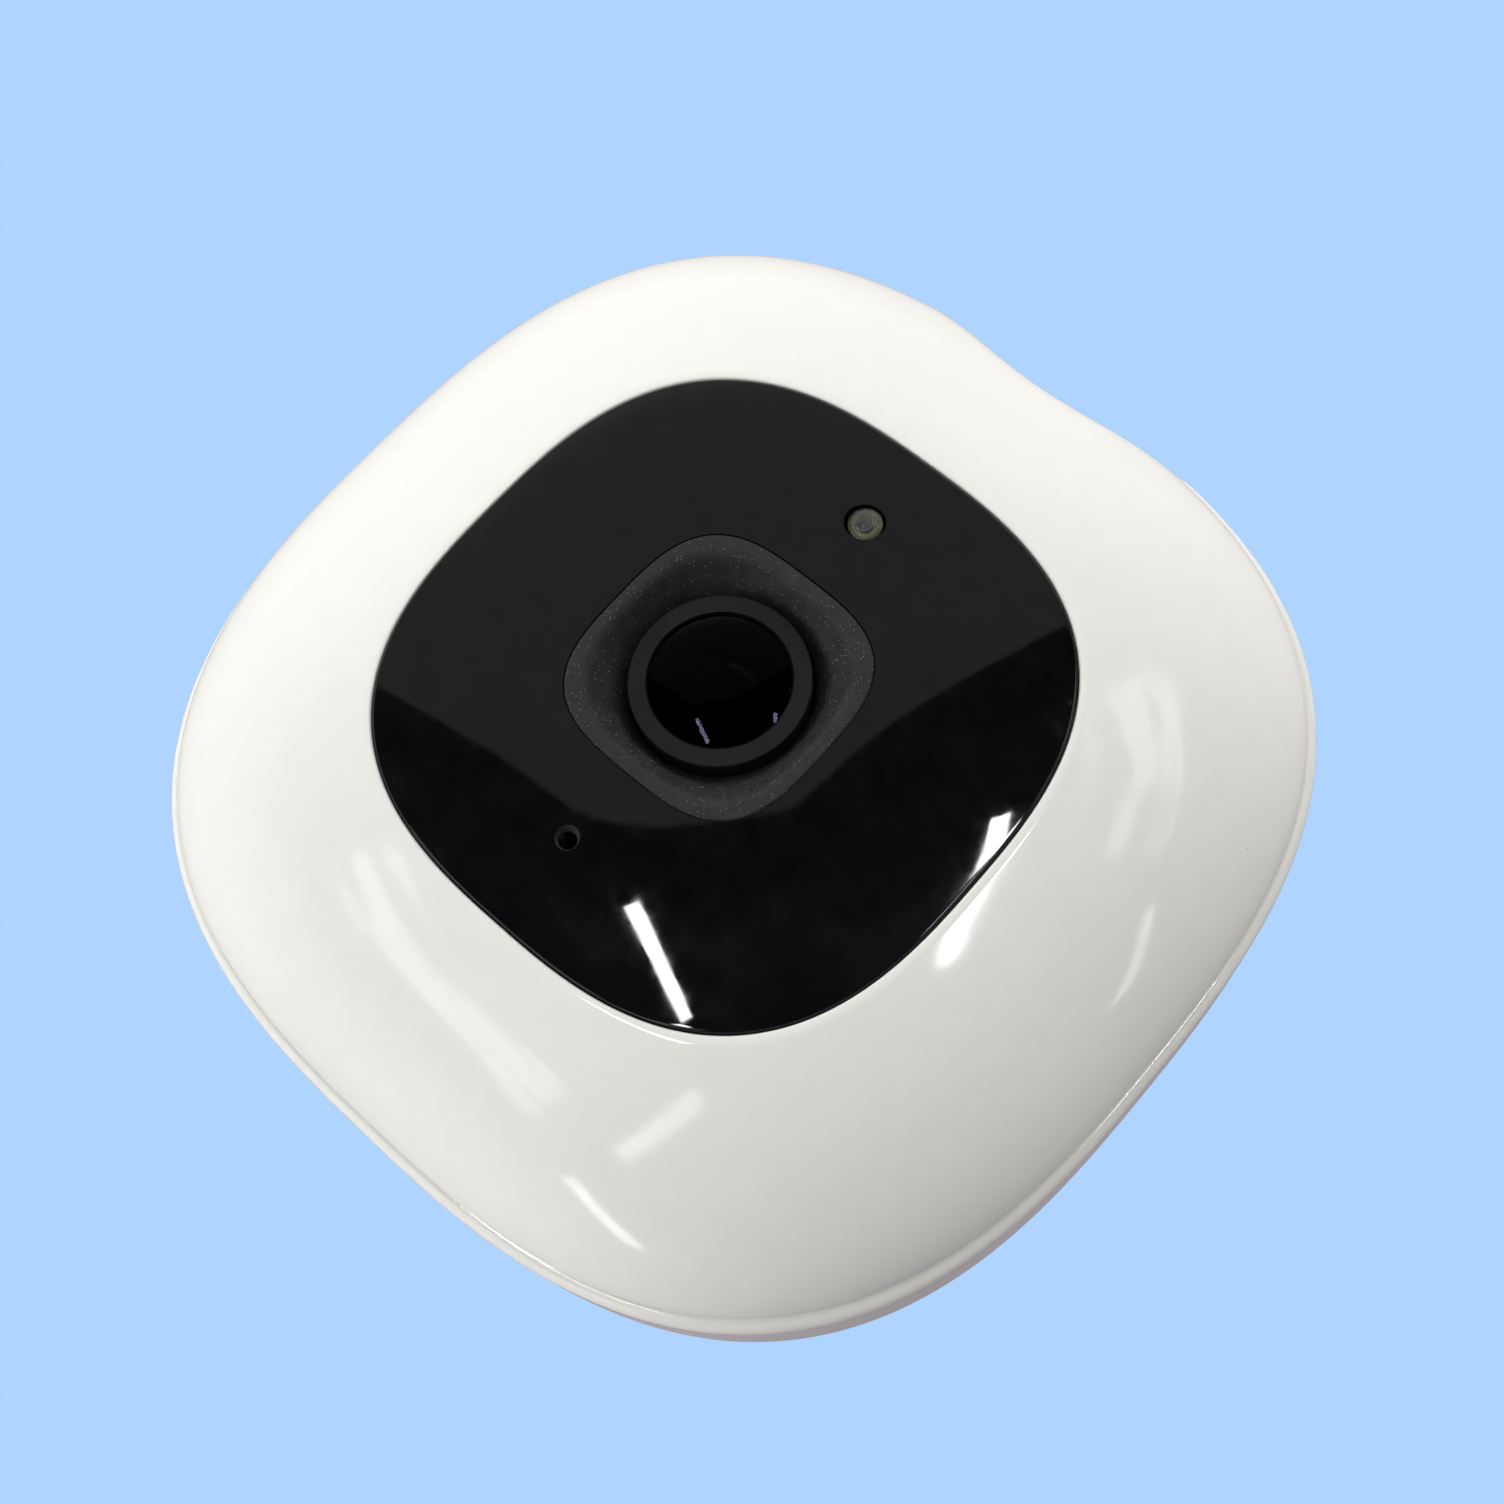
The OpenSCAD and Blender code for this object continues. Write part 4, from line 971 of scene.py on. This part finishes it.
def arm():
    spine = [Vector((0, BASE_H + 1)), Vector((0, 25)), Vector((-13.5, 23)), Vector((PIN.y, PIN.z))]
    parts = 64
    section = rounded_box(ARM_WIDTH, ARM_THICK, 1.9, parts=8)
    rings = []
    for i in range(parts + 1):
        at, way = curve(spine, i / parts)
        side = Vector((-way.y, way.x))
        rings.append([Vector((p.x, at.x + side.x * p.y, at.y + side.y * p.y)) for p in section])
    made = skin("arm_moulding", rings)
    half = ARM_WIDTH / 2
    knuckle = lathe("knuckle", filleted(
        [(0, -half, 0), (KNUCKLE_R, -half, 0.5), (KNUCKLE_R, half, 0.5), (0, half, 0)],
        closed=False), at=PIN, turn=SIDEWAYS, loop=False)
    stem_r = 5
    hub_low = BASE_H + 0.05
    hub_top = BASE_H + 3
    stem_low = BASE_H - COVER_THICK - 0.05
    hub = lathe("hub", filleted(
        [(0, stem_low, 0), (stem_r, stem_low, 0), (stem_r, hub_low, 0), (HUB_R, hub_low, 0.2),
         (HUB_R, hub_top, 1.6), (0, hub_top, 0)], closed=False), loop=False, steps=160)
    combine(made, "UNION", [knuckle])
    combine(made, "UNION", [hub])
    screw_r = 1.53
    screw_top = BASE_H + 8.2
    screw_hole = lathe("screw_hole", [(0, 0), (screw_r, 0), (screw_r, screw_top), (0, screw_top)],
                       loop=False, steps=64)
    combine(made, "DIFFERENCE", [pin_hole(9), screw_hole])
    return finish(made, "arm", "white_gloss", ["arm"])


def around_base(first):
    """Three places on the base's screw circle, the first at a turn in degrees."""
    turns = [math.radians(first + step) for step in (0, 120, 240)]
    return [(SCREW_CIRCLE_R * math.cos(turn), SCREW_CIRCLE_R * math.sin(turn)) for turn in turns]


def base_cover():
    top = BASE_H - COVER_THICK
    hub_bore_r = 5.05
    sleeve_r, boss_r, boss_bore_r = 3.6, 3.0, 1.25
    post_low = 2.8
    profile = filleted([
        (hub_bore_r, BASE_H, 0.15), (hub_bore_r, top, 0), (BASE_R - COVER_THICK, top, 0.6),
        (BASE_R - COVER_THICK, PLATE_LOW, 0), (BASE_R, PLATE_LOW, 0.3), (BASE_R, BASE_H, 3.0),
    ], parts=12)
    made = lathe("base_cover_moulding", profile, steps=256)
    posts = [hole(sleeve_r, post_low, top + 1, x, y, base=0)
             for x, y in around_base(WALL_SCREW_TURN)]
    posts += [hole(boss_r, post_low, top + 1, x, y, base=0) for x, y in around_base(BOSS_TURN)]
    combine(made, "UNION", posts)
    bore = [(0, -1), (WALL_SCREW_R, -1), (WALL_SCREW_R, BASE_H - 1.6),
            (WALL_SCREW_R + 1.6, BASE_H), (WALL_SCREW_R + 1.8, BASE_H + 0.4), (0, BASE_H + 0.4)]
    cuts = [lathe("bore", bore, at=(x, y, 0), loop=False, steps=96)
            for x, y in around_base(WALL_SCREW_TURN)]
    cuts += [hole(boss_bore_r, 1.8, BASE_H - 1.5, x, y, base=0) for x, y in around_base(BOSS_TURN)]
    combine(made, "DIFFERENCE", cuts)
    return finish(made, "base", "white_gloss", ["base_cover"])


def rubber_foot():
    """Pad with shallow rings for grip, pierced by the wall holes."""
    tread = []
    groove = 0.25
    for outer in spread(FOOT_R - 2.0, 4.0, 9):
        tread += [(outer, 0.0), (outer - 0.15, groove), (outer - 0.75, groove), (outer - 0.9, 0.0)]
    profile = [(0, PLATE_LOW), (FOOT_R, PLATE_LOW), (FOOT_R, 0.25), (FOOT_R - 0.08, 0.07),
               (FOOT_R - 0.25, 0.0)] + tread + [(0, 0.0)]
    made = lathe("rubber_foot_moulding", profile, steps=192, loop=False)
    combine(made, "DIFFERENCE", [hole(WALL_SCREW_R, -1, 3, x, y, base=0)
                                 for x, y in around_base(WALL_SCREW_TURN)])
    return finish(made, "base", "grey_rubber", ["rubber_foot"])


# ---------- Stage, lights and camera ----------


def floor():
    """Plain pale floor just below the base. It is evenly bright, and neither
    lights the camera nor shows in its gloss."""
    half = 10000.0
    low = -0.2
    pale_blue = (0.4287, 0.6584, 1.0)
    made = make("floor", [(-half, -half, low), (half, -half, low), (half, half, low),
                          (-half, half, low)], [(0, 1, 2, 3)])
    backdrop = bpy.data.materials.new("backdrop")
    backdrop.use_nodes = True
    shader = backdrop.node_tree.nodes["Principled BSDF"]
    shader.inputs["Base Color"].default_value = rgba((0.0, 0.0, 0.0))
    shader.inputs["Specular IOR Level"].default_value = 0.0
    shader.inputs["Emission Color"].default_value = rgba(pale_blue)
    shader.inputs["Emission Strength"].default_value = 1.0
    made.data.materials.append(backdrop)
    made.visible_glossy = False
    made.visible_diffuse = False


def toward(azimuth, elevation):
    """Unit vector to a place in the sky, both angles in degrees."""
    az, el = math.radians(azimuth), math.radians(elevation)
    return Vector((math.cos(el) * math.cos(az), math.cos(el) * math.sin(az), math.sin(el)))


def strip_light(name, start, end, width, radiance, mirrored=True):
    """Lamp that faces the head, between two places in the sky, each an azimuth
    and an elevation. All angles are in degrees, the width too. A lamp that isn't
    mirrored lights the camera but doesn't show in its gloss."""
    distance = 3000 * MM
    head = Vector((0, 0, (SEAM_Z + DOME_HEIGHT) * MM))
    first = toward(*start) * distance
    last = toward(*end) * distance
    middle = (first + last) / 2
    length = (last - first).length
    breadth = 2 * distance * math.tan(math.radians(width / 2))
    lamp = bpy.data.lights.new(name, "AREA")
    lamp.shape = "RECTANGLE"
    lamp.size = length
    lamp.size_y = breadth
    lamp.energy = radiance * math.pi * length * breadth
    placed = bpy.data.objects.new(name, lamp)
    back = middle.normalized()
    along = (last - first).normalized()
    along = (along - back * along.dot(back)).normalized()
    across = back.cross(along)
    turn = Matrix((along, across, back)).transposed()
    placed.matrix_world = Matrix.Translation(head + middle) @ turn.to_4x4()
    placed.visible_glossy = mirrored
    bpy.context.scene.collection.objects.link(placed)


def sky():
    """Studio surround: a grey ceiling with straight edges, gloom beyond it, walls
    that are dim on one side and sunny on the other, dull ground, and two panels
    of streaked cloth."""
    # The ceiling is where a*x + b*y is over c, for each (a, b, c).
    ceiling_edges = ((0.0, -1.0, -0.09), (0.98, -0.2, 0.13), (0.739, -0.674, 0.194))
    ceiling_grey = (0.31, 0.325, 0.32)
    gloom_black = (0.006, 0.007, 0.008)
    clutter_grey = (0.075, 0.085, 0.1)
    dim_wall = (0.2, 0.193, 0.187)
    sunny_wall = (0.82, 0.82, 0.795)
    ground = (0.34, 0.31, 0.34)
    soft = 0.006
    fold_scale = (4.0, 4.0, 28.0)
    # First and last azimuth, low and top elevation, brightness.
    cloths = ((36, 80, 40, 58, 3.4), (-146, -104, 38, 60, 3.0))

    world = bpy.data.worlds.new("studio")
    bpy.context.scene.world = world
    world.use_nodes = True
    graph = Graph(world.node_tree)
    way = graph.add("ShaderNodeTexCoord").outputs["Generated"]
    parts = graph.add("ShaderNodeSeparateXYZ", {0: way}).outputs
    x, y, z = parts["X"], parts["Y"], parts["Z"]

    def over(a, b, c):
        """How far a*x + b*y is over c."""
        total = graph.math("ADD", graph.math("MULTIPLY", x, a), graph.math("MULTIPLY", y, b))
        return graph.math("SUBTRACT", total, c)

    def least(values):
        smallest = values[0]
        for value in values[1:]:
            smallest = graph.math("MINIMUM", smallest, value)
        return smallest

    inside = least([over(*edge) for edge in ceiling_edges])
    ceiling = graph.remap(inside, -soft, soft, 0.0, 1.0)
    beyond = graph.remap(inside, -0.2, -0.1, 1.0, 0.0)
    clutter = graph.remap(graph.noise(way, 3.0, 2.0), 0.45, 0.56, 0.2, 1.0)
    gloom = graph.mix(graph.math("MULTIPLY", beyond, clutter), rgba(gloom_black),
                      rgba(clutter_grey))
    overhead = graph.mix(ceiling, gloom, rgba(ceiling_grey))
    sunny = graph.remap(x, -0.55, 0.35, 0.0, 1.0)
    walls = graph.mix(sunny, rgba(dim_wall), rgba(sunny_wall))
    walls = graph.mix(graph.remap(z, -0.15, 0.05, 1.0, 0.0), walls, rgba(ground))
    high = graph.remap(z, 0.45, 0.6, 0.0, 1.0)
    colour = graph.mix(high, walls, overhead)
    folds = graph.add("ShaderNodeVectorMath", {0: way, 1: fold_scale}, operation="MULTIPLY")
    streaks = graph.remap(graph.noise(folds.outputs["Vector"], 1.0), 0.46, 0.56, 0.0, 1.0)
    for first, last, low, top, glow in cloths:
        start, end = math.radians(first), math.radians(last)
        cloth = least([
            over(-math.sin(start), math.cos(start), 0.0),
            over(math.sin(end), -math.cos(end), 0.0),
            graph.math("SUBTRACT", math.sin(math.radians(top)), z),
            graph.math("SUBTRACT", z, math.sin(math.radians(low))),
        ])
        lit = graph.math("MULTIPLY", graph.remap(cloth, 0.0, 0.05, 0.0, 1.0), streaks)
        colour = graph.mix(lit, colour, rgba((glow, glow, glow * 0.97)))
    background = world.node_tree.nodes["Background"]
    world.node_tree.links.new(colour, background.inputs["Color"])
    background.inputs["Strength"].default_value = 1.0


def lights():
    strip_light("strip_left", (35, 73.6), (87, 74.6), 2.0, 34)
    strip_light("strip_right", (-127, 66.8), (-155.5, 65.2), 2.0, 34)
    strip_light("strip_low_left", (89, 35.6), (105.6, 23.5), 3.0, 8)
    strip_light("strip_mid_left", (106.7, 66.5), (94.4, 48.6), 3.0, 5)
    strip_light("strip_low_right", (-153.8, 37.2), (-163.6, 26.7), 1.5, 6)
    strip_light("soft_front", (-25, 18), (40, 18), 32, 0.8, mirrored=False)
    strip_light("soft_right", (-122, 16), (-55, 16), 26, 4.4, mirrored=False)
    strip_light("soft_left", (38, 18), (74, 18), 26, 6.2, mirrored=False)


def camera():
    """View from above the head and a little to one side."""
    place = Vector((-47.024, 33.887, SEAM_Z + 142.122))
    turns = (21.104, 4.45, -138.36)
    lens = bpy.data.cameras.new("camera")
    lens.lens = 45.54
    lens.sensor_width = 36.0
    lens.clip_start = 10 * MM
    made = bpy.data.objects.new("camera", lens)
    made.location = place * MM
    made.rotation_euler = [math.radians(turn) for turn in turns]
    bpy.context.scene.collection.objects.link(made)
    bpy.context.scene.camera = made


paint_frame()
front_shell()
face_plate()
lens_collar()
rear_shell()
retaining_ring()
lens_barrel()
front_lens()
bulging_lens("second_lens_ground", "second_lens", 5.2, 2.4, 5.25, 14.0, 30.0)
bulging_lens("rear_lens_ground", "rear_lens", 4.3, -3.1, 0.8, 12.0, 18.0)
status_led()
screw_plugs()
pair_button()
arm()
base_cover()
rubber_foot()
floor()
sky()
lights()
camera()
bpy.context.scene.view_settings.view_transform = "Standard"
